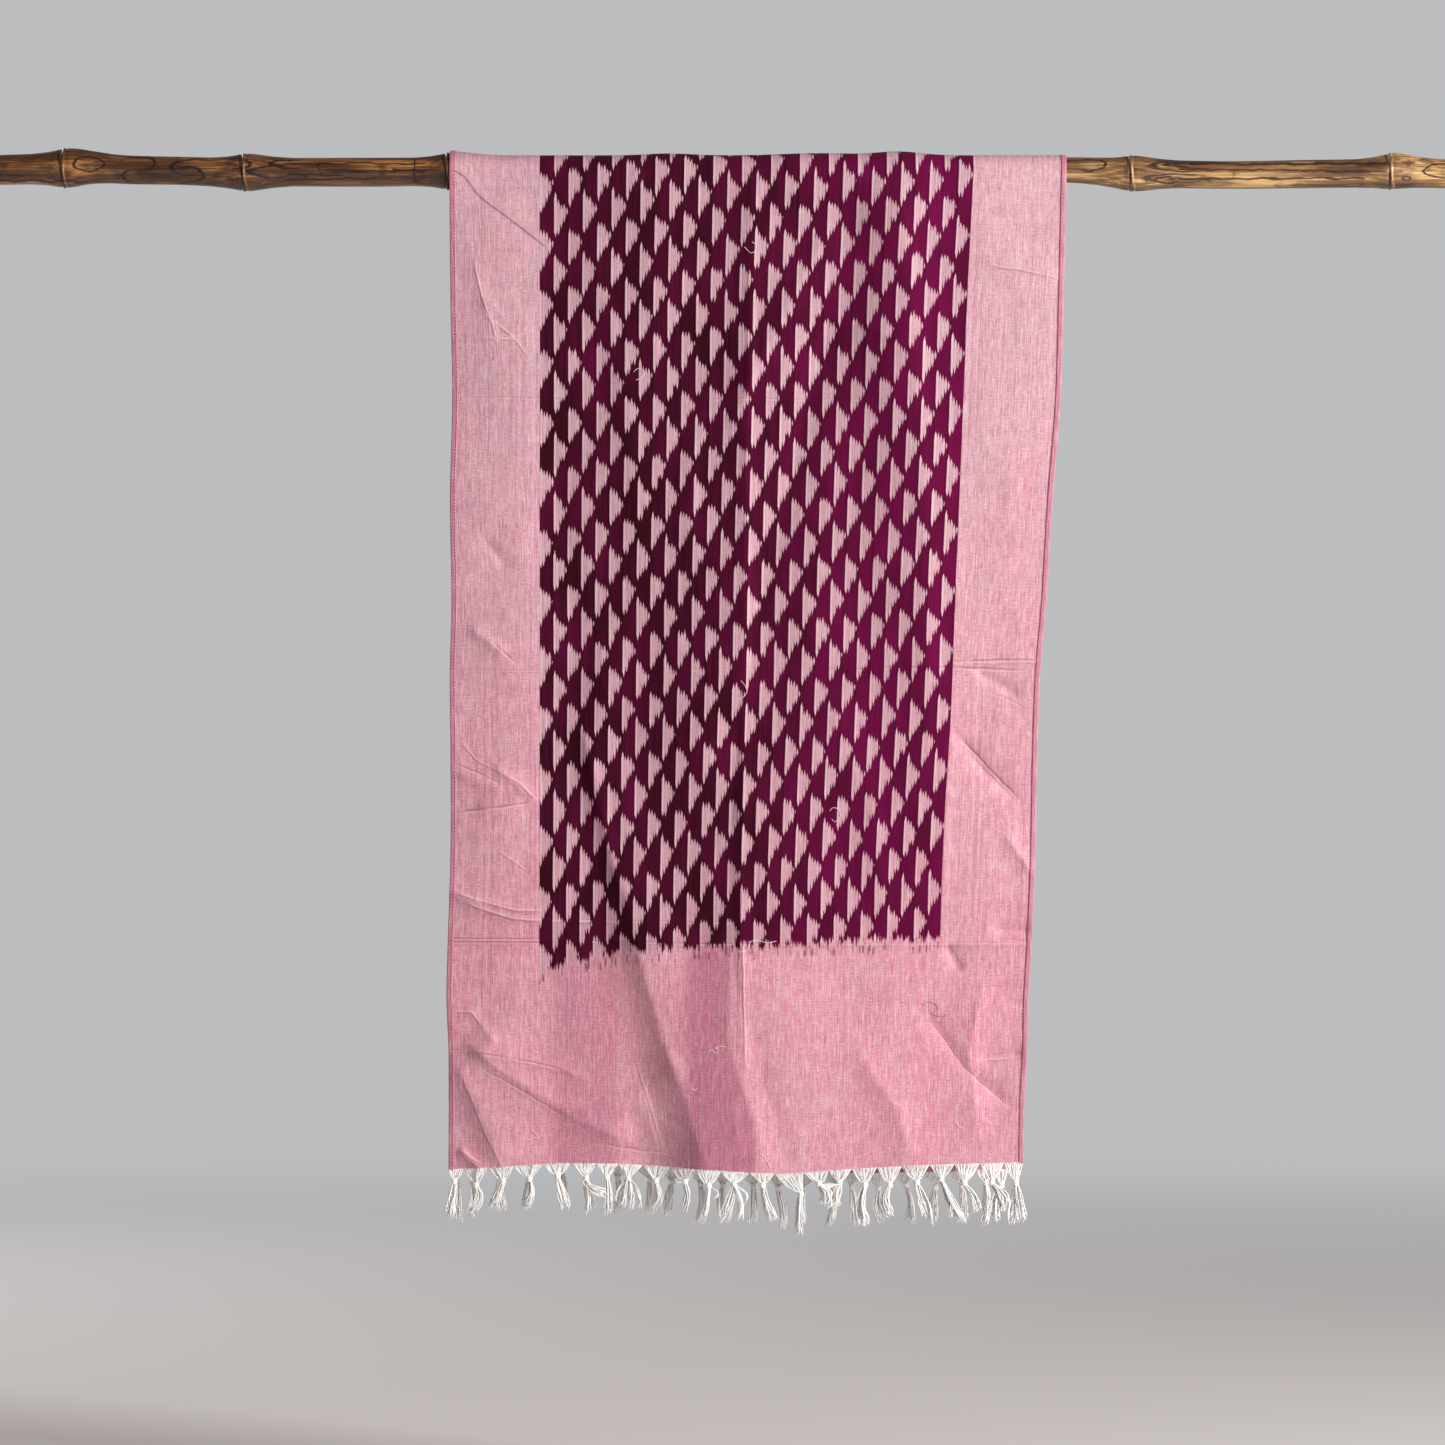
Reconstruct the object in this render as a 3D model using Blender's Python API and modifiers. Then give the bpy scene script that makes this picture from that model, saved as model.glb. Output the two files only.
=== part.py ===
"""Ikat stole hanging over a bamboo rod.

Metres, +Z up. The origin is on the rod's axis, at the middle of the cloth that lies over it. The front of the
stole faces -Y and +X is to the viewer's right. The stole is one woven cloth, made here as the stretches that
show: a fall in front, a saddle over the rod and a fall behind, each a thin wall, with a narrow knotted strip
of tassels under each hem.
"""

import math
import random
from collections import namedtuple

import bmesh
import bpy

# Cloth
CLOTH_WALL = 0.0012
HEM_WALL = 0.0020
HEM_WIDTH = 0.0050
HEM_STEP = 0.0010
SEAM_GAP = 0.0003
COLUMN_PITCH = 0.0190
BACK_COLUMN_PITCH = 0.0215
ROW_PITCH = 0.0330
BACK_ROW_PITCH = 0.0400
CREASE_ROW = 0.0085

# Rod
ROD_LEFT_END = -0.740
ROD_RIGHT_END = 0.670
ROD_RADIUS = 0.0127
ROD_EDGE = 0.0008
ROD_STEPS = 14
ROD_CLEARANCE = 0.0006
DRAPE_SPREAD = 0.028
DRAPE_FADE = 0.070

# Saddle
SADDLE_STEPS = 10
SADDLE_COLUMNS = 27
TOP_RISE_X = 0.055
TOP_RISE_WIDTH = 0.045
TOP_RISE = 0.0020

# Falls: how far below the rod the folds reach their full depth
FOLD_START = 0.045
WAVE_FADE = 0.060
CREASE_FADE = 0.030
FRONT = -1
BACK = 1

# Fringe
STRIP_HEIGHT = 0.0020
FAN_PARTING = 0.0012
FAN_WAIST_DEPTH = 0.0021
FAN_WAIST_SHARE = 0.55
FAN_WAIST_TAPER = 0.58
KNOT_HEIGHT = 0.0056
LOCKS = 4
LOCK_SWAY = 0.0015
LOCK_SHORTEST = -0.003
LOCK_LONGEST = 0.002
TASSELS = 23
BACK_KNOT_BELOW_HEM = 0.0125
BACK_KNOT_STRAY = 0.0018
BACK_TASSEL_LENGTH = 0.0350
BACK_TASSEL_STRAY = 0.0035
BACK_TIP_STRAY = 0.0050

# A knot's rings from top to bottom: height over its middle as a share of its height, width and depth
Collar = namedtuple("Collar", "share width depth")
KNOT_RINGS = (
    Collar(0.50, 0.0034, 0.0026),
    Collar(0.15, 0.0058, 0.0048),
    Collar(-0.25, 0.0058, 0.0048),
    Collar(-0.50, 0.0046, 0.0040),
)

# A lock's rings below the knot: share of its length, how far the locks spread, and its thickness
LockRing = namedtuple("LockRing", "share spread size")
LOCK_RINGS = (
    LockRing(0.5, 1.75, 0.95),
    LockRing(1.0, 2.30, 0.75),
)

# The side edges of each fall, down from the rod's axis
Edge = namedtuple("Edge", "drop left right")
FRONT_EDGES = (
    Edge(0.000, -0.2795, 0.2786),
    Edge(0.117, -0.2786, 0.2759),
    Edge(0.207, -0.2770, 0.2732),
    Edge(0.298, -0.2790, 0.2660),
    Edge(0.389, -0.2777, 0.2605),
    Edge(0.457, -0.2792, 0.2548),
    Edge(0.525, -0.2786, 0.2523),
    Edge(0.615, -0.2786, 0.2505),
    Edge(0.706, -0.2813, 0.2469),
    Edge(0.751, -0.2822, 0.2442),
    Edge(0.796, -0.2804, 0.2433),
    Edge(0.842, -0.2802, 0.2406),
    Edge(0.905, -0.2804, 0.2397),
)
BACK_EDGES = (
    Edge(0.000, -0.2795, 0.2786),
    Edge(0.150, -0.2765, 0.2775),
    Edge(0.300, -0.2760, 0.2690),
    Edge(0.450, -0.2755, 0.2590),
    Edge(0.600, -0.2760, 0.2535),
    Edge(0.750, -0.2780, 0.2480),
    Edge(0.910, -0.2770, 0.2440),
)

# How far down each hem hangs, from left to right
Hem = namedtuple("Hem", "x drop")
FRONT_HEM = (
    Hem(-0.282, 0.9052),
    Hem(-0.249, 0.9033),
    Hem(-0.180, 0.8979),
    Hem(-0.125, 0.8988),
    Hem(-0.038, 0.9042),
    Hem(0.020, 0.9078),
    Hem(0.092, 0.9040),
    Hem(0.164, 0.9006),
    Hem(0.240, 0.8988),
)
BACK_HEM = (
    Hem(-0.280, 0.9030),
    Hem(-0.150, 0.9040),
    Hem(-0.020, 0.9085),
    Hem(0.110, 0.9090),
    Hem(0.250, 0.9065),
)

# Long soft folds that run down a fall. A height is outwards, away from the rod.
Wave = namedtuple(
    "Wave", "top_x top_drop low_x low_drop top_height low_height top_width low_width"
)
FRONT_WAVES = (
    Wave(-0.005, 0.03, -0.008, 0.91, 0.0015, 0.0100, 0.045, 0.085),
    Wave(-0.174, 0.50, -0.098, 0.91, -0.0016, -0.0062, 0.015, 0.030),
    Wave(-0.143, 0.50, -0.040, 0.91, 0.0020, 0.0050, 0.016, 0.034),
    Wave(0.116, 0.02, 0.152, 0.60, 0.0042, 0.0030, 0.028, 0.050),
    Wave(0.078, 0.03, 0.100, 0.45, -0.0022, -0.0012, 0.016, 0.022),
    Wave(0.066, 0.13, -0.040, 0.64, -0.0018, -0.0024, 0.026, 0.030),
    Wave(-0.240, 0.05, -0.212, 0.91, 0.0026, 0.0042, 0.035, 0.050),
    Wave(0.278, 0.15, 0.242, 0.91, -0.0008, -0.0036, 0.040, 0.060),
    Wave(-0.110, 0.02, -0.070, 0.45, 0.0024, 0.0016, 0.030, 0.040),
)
BACK_WAVES = (
    Wave(0.010, 0.03, -0.010, 0.91, 0.0015, 0.0085, 0.050, 0.080),
    Wave(0.120, 0.35, 0.085, 0.91, -0.0012, -0.0048, 0.020, 0.032),
    Wave(-0.120, 0.02, -0.150, 0.70, 0.0036, 0.0030, 0.030, 0.045),
    Wave(-0.070, 0.10, -0.075, 0.91, -0.0014, -0.0030, 0.020, 0.028),
    Wave(0.200, 0.05, 0.185, 0.91, 0.0030, 0.0048, 0.035, 0.050),
    Wave(-0.270, 0.10, -0.272, 0.91, -0.0008, -0.0030, 0.035, 0.050),
)

# Sharp creases, each a straight stretch, from folding and packing
Crease = namedtuple("Crease", "start_x start_drop end_x end_drop height width")
PACKING_DROPS = (0.207, 0.451, 0.698)
FRONT_CREASES = (
    Crease(-0.290, 0.207, 0.290, 0.207, 0.0011, 0.006),
    Crease(-0.290, 0.451, 0.290, 0.451, 0.0016, 0.006),
    Crease(-0.290, 0.698, 0.290, 0.698, 0.0015, 0.006),
    Crease(-0.005, 0.000, -0.016, 0.710, 0.0020, 0.008),
    Crease(-0.016, 0.710, 0.002, 0.920, 0.0024, 0.008),
    Crease(-0.290, 0.654, -0.196, 0.675, 0.0020, 0.007),
    Crease(-0.196, 0.675, -0.061, 0.680, 0.0014, 0.007),
    Crease(-0.267, 0.803, -0.155, 0.867, -0.0020, 0.009),
    Crease(-0.155, 0.867, -0.094, 0.888, -0.0014, 0.008),
    Crease(0.176, 0.506, 0.235, 0.571, -0.0016, 0.009),
    Crease(0.192, 0.080, 0.274, 0.093, 0.0012, 0.008),
)
BACK_CREASES = (
    Crease(-0.290, 0.207, 0.290, 0.207, 0.0012, 0.006),
    Crease(-0.290, 0.451, 0.290, 0.451, 0.0014, 0.006),
    Crease(-0.290, 0.698, 0.290, 0.698, 0.0014, 0.006),
    Crease(-0.002, 0.000, -0.012, 0.920, -0.0016, 0.008),
    Crease(0.120, 0.780, 0.235, 0.850, -0.0018, 0.009),
    Crease(-0.250, 0.520, -0.190, 0.590, -0.0014, 0.009),
)

# All that shapes a fall. side is -1 in front of the rod and 1 behind it.
Fall = namedtuple("Fall", "side edges hem waves creases")
FRONT_FALL = Fall(FRONT, FRONT_EDGES, FRONT_HEM, FRONT_WAVES, FRONT_CREASES)
BACK_FALL = Fall(BACK, BACK_EDGES, BACK_HEM, BACK_WAVES, BACK_CREASES)

# The bamboo's growth rings: where each is, and how far it stands above the plain culm
Ring = namedtuple("Ring", "x swelling")
ROD_RINGS = (
    Ring(-0.6256, 0.0034),
    Ring(-0.4652, 0.0038),
    Ring(-0.2822, 0.0040),
    Ring(-0.0811, 0.0017),
    Ring(0.1273, 0.0034),
    Ring(0.3429, 0.0034),
    Ring(0.5785, 0.0034),
)

# One ring's profile: distance along the rod, and the share of its swelling
Swell = namedtuple("Swell", "along share")
RING_PROFILE = (
    Swell(-0.024, 0.00),
    Swell(-0.009, 0.26),
    Swell(-0.002, 0.95),
    Swell(0.000, 1.00),
    Swell(0.002, 0.55),
    Swell(0.005, 0.62),
    Swell(0.024, 0.00),
)

# The front tassels, from left to right: the right end of each fan, its knot and its tip
Tassel = namedtuple("Tassel", "right knot_x knot_drop tip_x tip_drop")
FRONT_TASSELS = (
    Tassel(-0.2666, -0.2751, 0.9147, -0.2800, 0.9477),
    Tassel(-0.2453, -0.2554, 0.9176, -0.2598, 0.9448),
    Tassel(-0.2213, -0.2313, 0.9147, -0.2396, 0.9402),
    Tassel(-0.1955, -0.2073, 0.9122, -0.2113, 0.9407),
    Tassel(-0.1702, -0.1818, 0.9101, -0.1744, 0.9402),
    Tassel(-0.1468, -0.1560, 0.9118, -0.1547, 0.9448),
    Tassel(-0.1267, -0.1375, 0.9110, -0.1370, 0.9453),
    Tassel(-0.1043, -0.1180, 0.9118, -0.1189, 0.9407),
    Tassel(-0.0798, -0.0929, 0.9147, -0.0927, 0.9377),
    Tassel(-0.0563, -0.0663, 0.9145, -0.0667, 0.9419),
    Tassel(-0.0336, -0.0453, 0.9179, -0.0494, 0.9448),
    Tassel(-0.0081, -0.0222, 0.9164, -0.0320, 0.9517),
    Tassel(0.0146, 0.0038, 0.9176, 0.0130, 0.9499),
    Tassel(0.0403, 0.0380, 0.9260, 0.0370, 0.9621),
    Tassel(0.0635, 0.0545, 0.9165, 0.0585, 0.9370),
    Tassel(0.0843, 0.0730, 0.9158, 0.0695, 0.9390),
    Tassel(0.1074, 0.0960, 0.9176, 0.0960, 0.9543),
    Tassel(0.1297, 0.1185, 0.9176, 0.1194, 0.9459),
    Tassel(0.1548, 0.1432, 0.9158, 0.1525, 0.9470),
    Tassel(0.1775, 0.1651, 0.9128, 0.1844, 0.9519),
    Tassel(0.2005, 0.1861, 0.9164, 0.1970, 0.9429),
    Tassel(0.2222, 0.2110, 0.9158, 0.2210, 0.9422),
    Tassel(0.2397, 0.2327, 0.9158, 0.2360, 0.9519),
)

# Colours and finish
PINK_CLOTH = ((0.600, 0.262, 0.318, 1.0), 0.88, 0.0)
PLUM_CLOTH = ((0.130, 0.012, 0.050, 1.0), 0.85, 0.0)
WHITE_YARN = ((0.800, 0.780, 0.740, 1.0), 0.92, 0.0)
BAMBOO = ((0.300, 0.160, 0.075, 1.0), 0.38, 0.0)


def between(a, b, share):
    """The value that lies this share of the way from a to b."""
    return a + (b - a) * share


def ease(value):
    """A smooth step from 0 to 1."""
    t = min(max(value, 0.0), 1.0)
    return t * t * (3.0 - 2.0 * t)


def read(rows, key, column, at):
    """A smooth curve through one column of a table, read at a value of its key column."""
    places = [getattr(row, key) for row in rows]
    values = [getattr(row, column) for row in rows]
    if at <= places[0]:
        return values[0]
    if at >= places[-1]:
        return values[-1]
    i = max(k for k in range(len(rows) - 1) if places[k] <= at)
    before, after = max(i - 1, 0), min(i + 2, len(rows) - 1)
    span = places[i + 1] - places[i]
    t = (at - places[i]) / span
    rate_in = (values[i + 1] - values[before]) / (places[i + 1] - places[before]) * span
    rate_out = (values[after] - values[i]) / (places[after] - places[i]) * span
    return (
        values[i] * (2 * t**3 - 3 * t**2 + 1)
        + rate_in * (t**3 - 2 * t**2 + t)
        + values[i + 1] * (3 * t**2 - 2 * t**3)
        + rate_out * (t**3 - t**2)
    )


def wave_height(wave, x, drop):
    """One long fold's height at a point of a fall."""
    share = (drop - wave.top_drop) / (wave.low_drop - wave.top_drop)
    inside = min(max(share, 0.0), 1.0)
    outside = abs(share - inside) * (wave.low_drop - wave.top_drop)
    middle = between(wave.top_x, wave.low_x, inside)
    width = between(wave.top_width, wave.low_width, inside)
    height = between(wave.top_height, wave.low_height, inside)
    return height * math.exp(-(((x - middle) / width) ** 2) - (outside / WAVE_FADE) ** 2)


def crease_height(crease, x, drop):
    """One crease's height at a point of a fall: a narrow ridge or trough with soft ends."""
    run_x = crease.end_x - crease.start_x
    run_drop = crease.end_drop - crease.start_drop
    length = math.hypot(run_x, run_drop)
    from_x, from_drop = x - crease.start_x, drop - crease.start_drop
    along = (from_x * run_x + from_drop * run_drop) / length
    across = (from_x * run_drop - from_drop * run_x) / length
    past = max(-along, along - length, 0.0)
    return crease.height / (1.0 + (across / crease.width) ** 2) * math.exp(-((past / CREASE_FADE) ** 2))


def drape_radius(x):
    """The radius of the cloth's inner face where it lies over the rod and its growth rings."""
    radius = ROD_RADIUS + ROD_CLEARANCE
    radius += TOP_RISE * math.exp(-(((x - TOP_RISE_X) / TOP_RISE_WIDTH) ** 2))
    for ring in ROD_RINGS:
        radius += ring.swelling * math.exp(-(((x - ring.x) / DRAPE_SPREAD) ** 2))
    return radius


def fall_depth(fall, x, drop):
    """How far a fall's inner face stands out from the rod's axis."""
    plain = ROD_RADIUS + ROD_CLEARANCE
    bumps = (drape_radius(x) - plain) * math.exp(-drop / DRAPE_FADE)
    folds = sum(wave_height(wave, x, drop) for wave in fall.waves)
    folds += sum(crease_height(crease, x, drop) for crease in fall.creases)
    return plain + bumps + folds * ease(drop / FOLD_START)


def fall_point(fall, across, down):
    """A point of a fall, on its inner face. across runs from 0 at the left to 1 at the right."""
    hem_x = between(fall.edges[-1].left, fall.edges[-1].right, across)
    drop = SEAM_GAP / 2 + down * (read(fall.hem, "x", "drop", hem_x) - SEAM_GAP / 2)
    left, right = read(fall.edges, "drop", "left", drop), read(fall.edges, "drop", "right", drop)
    x = between(left, right, across)
    return (x, fall.side * fall_depth(fall, x, drop), -drop)


def columns(width, pitch):
    """Shares across the cloth: close together at the two side hems, and even between them."""
    band = HEM_WIDTH / width
    step = (HEM_WIDTH + HEM_STEP) / width
    count = round((width - 2 * (HEM_WIDTH + HEM_STEP)) / pitch)
    middle = [between(step, 1 - step, i / count) for i in range(count + 1)]
    return [0.0, band] + middle + [1 - band, 1.0]


def rows(length, pitch):
    """Shares down a fall: even, with a row on each packing crease and one on each side of it."""
    places = []
    for drop in PACKING_DROPS:
        places += [drop - CREASE_ROW, drop, drop + CREASE_ROW]
    count = round(length / pitch)
    for i in range(count + 1):
        drop = length * i / count
        if all(abs(drop - place) > CREASE_ROW for place in places):
            places.append(drop)
    return sorted(place / length for place in places)


def material(name, finish):
    """A plain Principled material."""
    colour, roughness, metallic = finish
    made = bpy.data.materials.new(name)
    made.use_nodes = True
    shader = made.node_tree.nodes["Principled BSDF"]
    shader.inputs["Base Color"].default_value = colour
    shader.inputs["Roughness"].default_value = roughness
    shader.inputs["Metallic"].default_value = metallic
    made.diffuse_color = colour
    return made


def new_object(name, bm, finish, collection):
    """Makes an object of a bmesh, smooth shaded, with its own material."""
    mesh = bpy.data.meshes.new(name)
    bm.to_mesh(mesh)
    bm.free()
    mesh.shade_smooth()
    mesh.materials.append(material(name, finish))
    made = bpy.data.objects.new(name, mesh)
    collection.objects.link(made)
    return made


def cloth_sheet(name, grid, finish, collection):
    """Makes a wall of cloth on a grid of points, which is its inner face, thicker along the two side hems."""
    bm = bmesh.new()
    verts = [[bm.verts.new(point) for point in line] for line in grid]
    for upper, lower in zip(verts, verts[1:]):
        for i in range(len(upper) - 1):
            bm.faces.new((upper[i], lower[i], lower[i + 1], upper[i + 1]))
    made = new_object(name, bm, finish, collection)
    count = len(grid[0])
    hem_columns = (0, 1, count - 2, count - 1)
    thickness = made.vertex_groups.new(name="thickness")
    for index in range(len(grid) * count):
        share = 1.0 if index % count in hem_columns else CLOTH_WALL / HEM_WALL
        thickness.add([index], share, "REPLACE")
    wall = made.modifiers.new("wall", "SOLIDIFY")
    wall.thickness = HEM_WALL
    wall.offset = 1.0
    wall.vertex_group = thickness.name
    return made


def hanging_cloth(name, fall, column_pitch, row_pitch, finish, collection):
    """Makes one hanging stretch of the stole."""
    across = columns(fall.edges[0].right - fall.edges[0].left, column_pitch)
    if fall.side == BACK:
        across = across[::-1]
    down = rows(max(row.drop for row in fall.hem), row_pitch)
    grid = [[fall_point(fall, a, d) for a in across] for d in down]
    return cloth_sheet(name, grid, finish, collection)


def saddle(name, finish, collection):
    """Makes the stretch that lies over the rod, from the front fall to the back one."""
    left, right = FRONT_EDGES[0].left, FRONT_EDGES[0].right
    across = columns(right - left, (right - left) / SADDLE_COLUMNS)
    grid = []
    for step in range(SADDLE_STEPS + 1):
        line = []
        for a in across:
            x = between(left, right, a)
            radius = drape_radius(x)
            start = math.asin(SEAM_GAP / 2 / radius)
            turn = between(math.pi - start, start, step / SADDLE_STEPS)
            line.append((x, radius * math.cos(turn), radius * math.sin(turn)))
        grid.append(line)
    return cloth_sheet(name, grid[::-1], finish, collection)


def box_ring(bm, centre, width, depth):
    """Four points round a centre, in the XY plane: left front, right front, right back, left back."""
    x, y, z = centre
    half_x, half_y = width / 2, depth / 2
    corners = ((-half_x, -half_y), (half_x, -half_y), (half_x, half_y), (-half_x, half_y))
    return [bm.verts.new((x + dx, y + dy, z)) for dx, dy in corners]


def join_rings(bm, upper, lower):
    """Faces between two rings of as many points."""
    count = len(upper)
    for i in range(count):
        j = (i + 1) % count
        bm.faces.new((upper[i], lower[i], lower[j], upper[j]))


def grow_lock(bm, root, knot_under, tip, sway):
    """Grows one three-sided lock of yarn from a triangle under the knot to its cut end."""
    middle_x = sum(vert.co.x for vert in root) / 3
    middle_y = sum(vert.co.y for vert in root) / 3
    previous = root
    for row in LOCK_RINGS:
        x = between(knot_under[0], tip[0], row.share) + sway * math.sin(math.pi * row.share)
        y = between(knot_under[1], tip[1], row.share)
        z = between(knot_under[2], tip[2], row.share)
        x += (middle_x - knot_under[0]) * row.spread
        y += (middle_y - knot_under[1]) * row.spread
        ring = []
        for vert in root:
            from_middle_x = (vert.co.x - middle_x) * row.size
            from_middle_y = (vert.co.y - middle_y) * row.size
            ring.append(bm.verts.new((x + from_middle_x, y + from_middle_y, z)))
        join_rings(bm, previous, ring)
        previous = ring
    bm.faces.new(previous)


def grow_tassel(bm, top, tassel, jitter):
    """Grows a fan of yarn, its knot and its locks from the four points of one stretch of the strip."""
    depth = sum(vert.co.y for vert in top) / 4
    fan_x = sum(vert.co.x for vert in top) / 4
    fan_z = sum(vert.co.z for vert in top) / 4
    fan_width = abs(top[1].co.x - top[0].co.x)
    knot_z = -tassel.knot_drop
    waist = (
        between(fan_x, tassel.knot_x, FAN_WAIST_SHARE),
        depth,
        between(fan_z, knot_z + KNOT_HEIGHT / 2, FAN_WAIST_SHARE),
    )
    waist_width = between(fan_width, KNOT_RINGS[0].width, FAN_WAIST_TAPER)
    rings = [top, box_ring(bm, waist, waist_width, FAN_WAIST_DEPTH)]
    for row in KNOT_RINGS:
        centre = (tassel.knot_x, depth, knot_z + row.share * KNOT_HEIGHT)
        rings.append(box_ring(bm, centre, row.width, row.depth))
    for upper, lower in zip(rings, rings[1:]):
        join_rings(bm, upper, lower)
    root = rings[-1]
    knot_under = (tassel.knot_x, depth, knot_z + KNOT_RINGS[-1].share * KNOT_HEIGHT)
    middle = bm.verts.new(knot_under)
    sway = jitter.uniform(-LOCK_SWAY, LOCK_SWAY)
    for i in range(LOCKS):
        tip = (tassel.tip_x, depth, -tassel.tip_drop - jitter.uniform(LOCK_SHORTEST, LOCK_LONGEST))
        grow_lock(bm, (root[i], root[(i + 1) % LOCKS], middle), knot_under, tip, sway)


def strip_loop(bm, fall, x):
    """Four points round the strip under a hem: high front, low front, low back, high back."""
    drop = read(fall.hem, "x", "drop", x) + SEAM_GAP
    inner = fall_depth(fall, x, drop)
    front, back = sorted((fall.side * inner, fall.side * (inner + CLOTH_WALL)))
    high, low = -drop, -drop - STRIP_HEIGHT
    corners = ((front, high), (front, low), (back, low), (back, high))
    return [bm.verts.new((x, y, z)) for y, z in corners]


def fringe(name, fall, tassels, finish, collection):
    """Makes the narrow strip under a hem, with all its tassels, as one body."""
    bm = bmesh.new()
    jitter = random.Random(len(name))
    stations = []
    start = fall.edges[-1].left
    for tassel in tassels:
        stations += [start + FAN_PARTING / 2, tassel.right - FAN_PARTING / 2]
        start = tassel.right
    loops = [strip_loop(bm, fall, x) for x in stations]
    bm.faces.new(loops[0][::-1])
    bm.faces.new(loops[-1])
    for i, (here, there) in enumerate(zip(loops, loops[1:])):
        has_fan = i % 2 == 0
        for k in range(4):
            m = (k + 1) % 4
            is_underside = k == 1
            if not (has_fan and is_underside):
                bm.faces.new((here[k], here[m], there[m], there[k]))
        if has_fan:
            grow_tassel(bm, [here[1], there[1], there[2], here[2]], tassels[i // 2], jitter)
    bmesh.ops.recalc_face_normals(bm, faces=bm.faces)
    return new_object(name, bm, finish, collection)


def back_tassels():
    """The back tassels: even across the hem, each knot and tip a little off its place."""
    jitter = random.Random(11)
    left, right = BACK_EDGES[-1].left, BACK_EDGES[-1].right
    pitch = (right - left) / TASSELS
    made = []
    for i in range(TASSELS):
        knot_x = left + (i + 0.5) * pitch + jitter.uniform(-BACK_KNOT_STRAY, BACK_KNOT_STRAY)
        knot_drop = read(BACK_HEM, "x", "drop", knot_x) + BACK_KNOT_BELOW_HEM
        knot_drop += jitter.uniform(-BACK_KNOT_STRAY, BACK_KNOT_STRAY)
        tip_x = knot_x + jitter.uniform(-BACK_TIP_STRAY, BACK_TIP_STRAY)
        tip_drop = knot_drop + BACK_TASSEL_LENGTH + jitter.uniform(-BACK_TASSEL_STRAY, BACK_TASSEL_STRAY)
        made.append(Tassel(left + (i + 1) * pitch, knot_x, knot_drop, tip_x, tip_drop))
    return made


def rod_radius(x):
    """The culm's radius along its length."""
    swelling = 0.0
    for ring in ROD_RINGS:
        swelling += ring.swelling * read(RING_PROFILE, "along", "share", x - ring.x)
    return ROD_RADIUS + swelling


def bamboo_rod(name, finish, collection):
    """Makes the rod: a turned profile about its long axis, with its growth rings and plain cut ends."""
    places = {ROD_LEFT_END + ROD_EDGE, ROD_RIGHT_END - ROD_EDGE}
    for ring in ROD_RINGS:
        places |= {ring.x + swell.along for swell in RING_PROFILE}
    outline = [(ROD_RADIUS - ROD_EDGE, ROD_RIGHT_END)]
    outline += [(rod_radius(x), x) for x in sorted(places, reverse=True)]
    outline += [(ROD_RADIUS - ROD_EDGE, ROD_LEFT_END)]
    outline = [(0.0, ROD_RIGHT_END)] + outline + [(0.0, ROD_LEFT_END)]
    bm = bmesh.new()
    verts = [bm.verts.new((radius, 0.0, height)) for radius, height in outline]
    for upper, lower in zip(verts, verts[1:]):
        bm.edges.new((upper, lower))
    made = new_object(name, bm, finish, collection)
    turn = made.modifiers.new("turn", "SCREW")
    turn.axis = "Z"
    turn.steps = ROD_STEPS
    turn.render_steps = ROD_STEPS
    turn.use_merge_vertices = True
    turn.merge_threshold = 0.0001
    made.rotation_euler = (0.0, math.pi / 2, 0.0)
    return made


def main():
    """Builds the stole and the rod in a collection of their own."""
    for old in list(bpy.data.objects):
        bpy.data.objects.remove(old, do_unlink=True)
    collection = bpy.data.collections.new("ikat_stole")
    bpy.context.scene.collection.children.link(collection)
    hanging_cloth("stole_front", FRONT_FALL, COLUMN_PITCH, ROW_PITCH, PINK_CLOTH, collection)
    saddle("stole_over_rod", PLUM_CLOTH, collection)
    hanging_cloth("stole_back", BACK_FALL, BACK_COLUMN_PITCH, BACK_ROW_PITCH, PINK_CLOTH, collection)
    fringe("fringe_front", FRONT_FALL, FRONT_TASSELS, WHITE_YARN, collection)
    fringe("fringe_back", BACK_FALL, back_tassels(), WHITE_YARN, collection)
    bamboo_rod("bamboo_rod", BAMBOO, collection)


main()
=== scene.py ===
"""The looks of an ikat stole that hangs over a bamboo pole: its cloth, hems, fringe, loose threads and pole.

Metres, in the frame of the solids: the origin is on the pole's axis, +X is to the viewer's right, the front
faces -Y and +Z is up. A drop is a distance below the pole's axis. Tables of places are in millimetres.
"""

import math
import random
from collections import namedtuple

import bpy
import numpy as np
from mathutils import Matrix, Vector
from mathutils.noise import noise


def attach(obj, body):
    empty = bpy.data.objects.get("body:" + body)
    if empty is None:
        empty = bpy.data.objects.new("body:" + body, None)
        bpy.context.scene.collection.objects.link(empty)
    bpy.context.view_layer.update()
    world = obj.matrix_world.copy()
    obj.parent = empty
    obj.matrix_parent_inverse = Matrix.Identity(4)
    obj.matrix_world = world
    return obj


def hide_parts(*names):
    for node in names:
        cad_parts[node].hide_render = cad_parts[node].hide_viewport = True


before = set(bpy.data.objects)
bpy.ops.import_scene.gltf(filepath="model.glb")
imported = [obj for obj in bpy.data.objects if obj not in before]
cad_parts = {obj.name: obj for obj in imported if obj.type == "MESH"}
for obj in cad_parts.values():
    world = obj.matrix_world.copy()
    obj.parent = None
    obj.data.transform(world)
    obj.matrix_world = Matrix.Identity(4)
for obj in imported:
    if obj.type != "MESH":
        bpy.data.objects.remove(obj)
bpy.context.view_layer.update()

MM = 0.001


def table(kind, plain, *rows):
    """Rows of one kind: first some plain numbers, then numbers that go from millimetres to metres."""
    return [kind(*row[:plain], *(value * MM for value in row[plain:])) for row in rows]


def line(*points):
    """A bent line's points, across and down, from millimetres to metres."""
    return [(x * MM, drop * MM) for x, drop in points]


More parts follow.
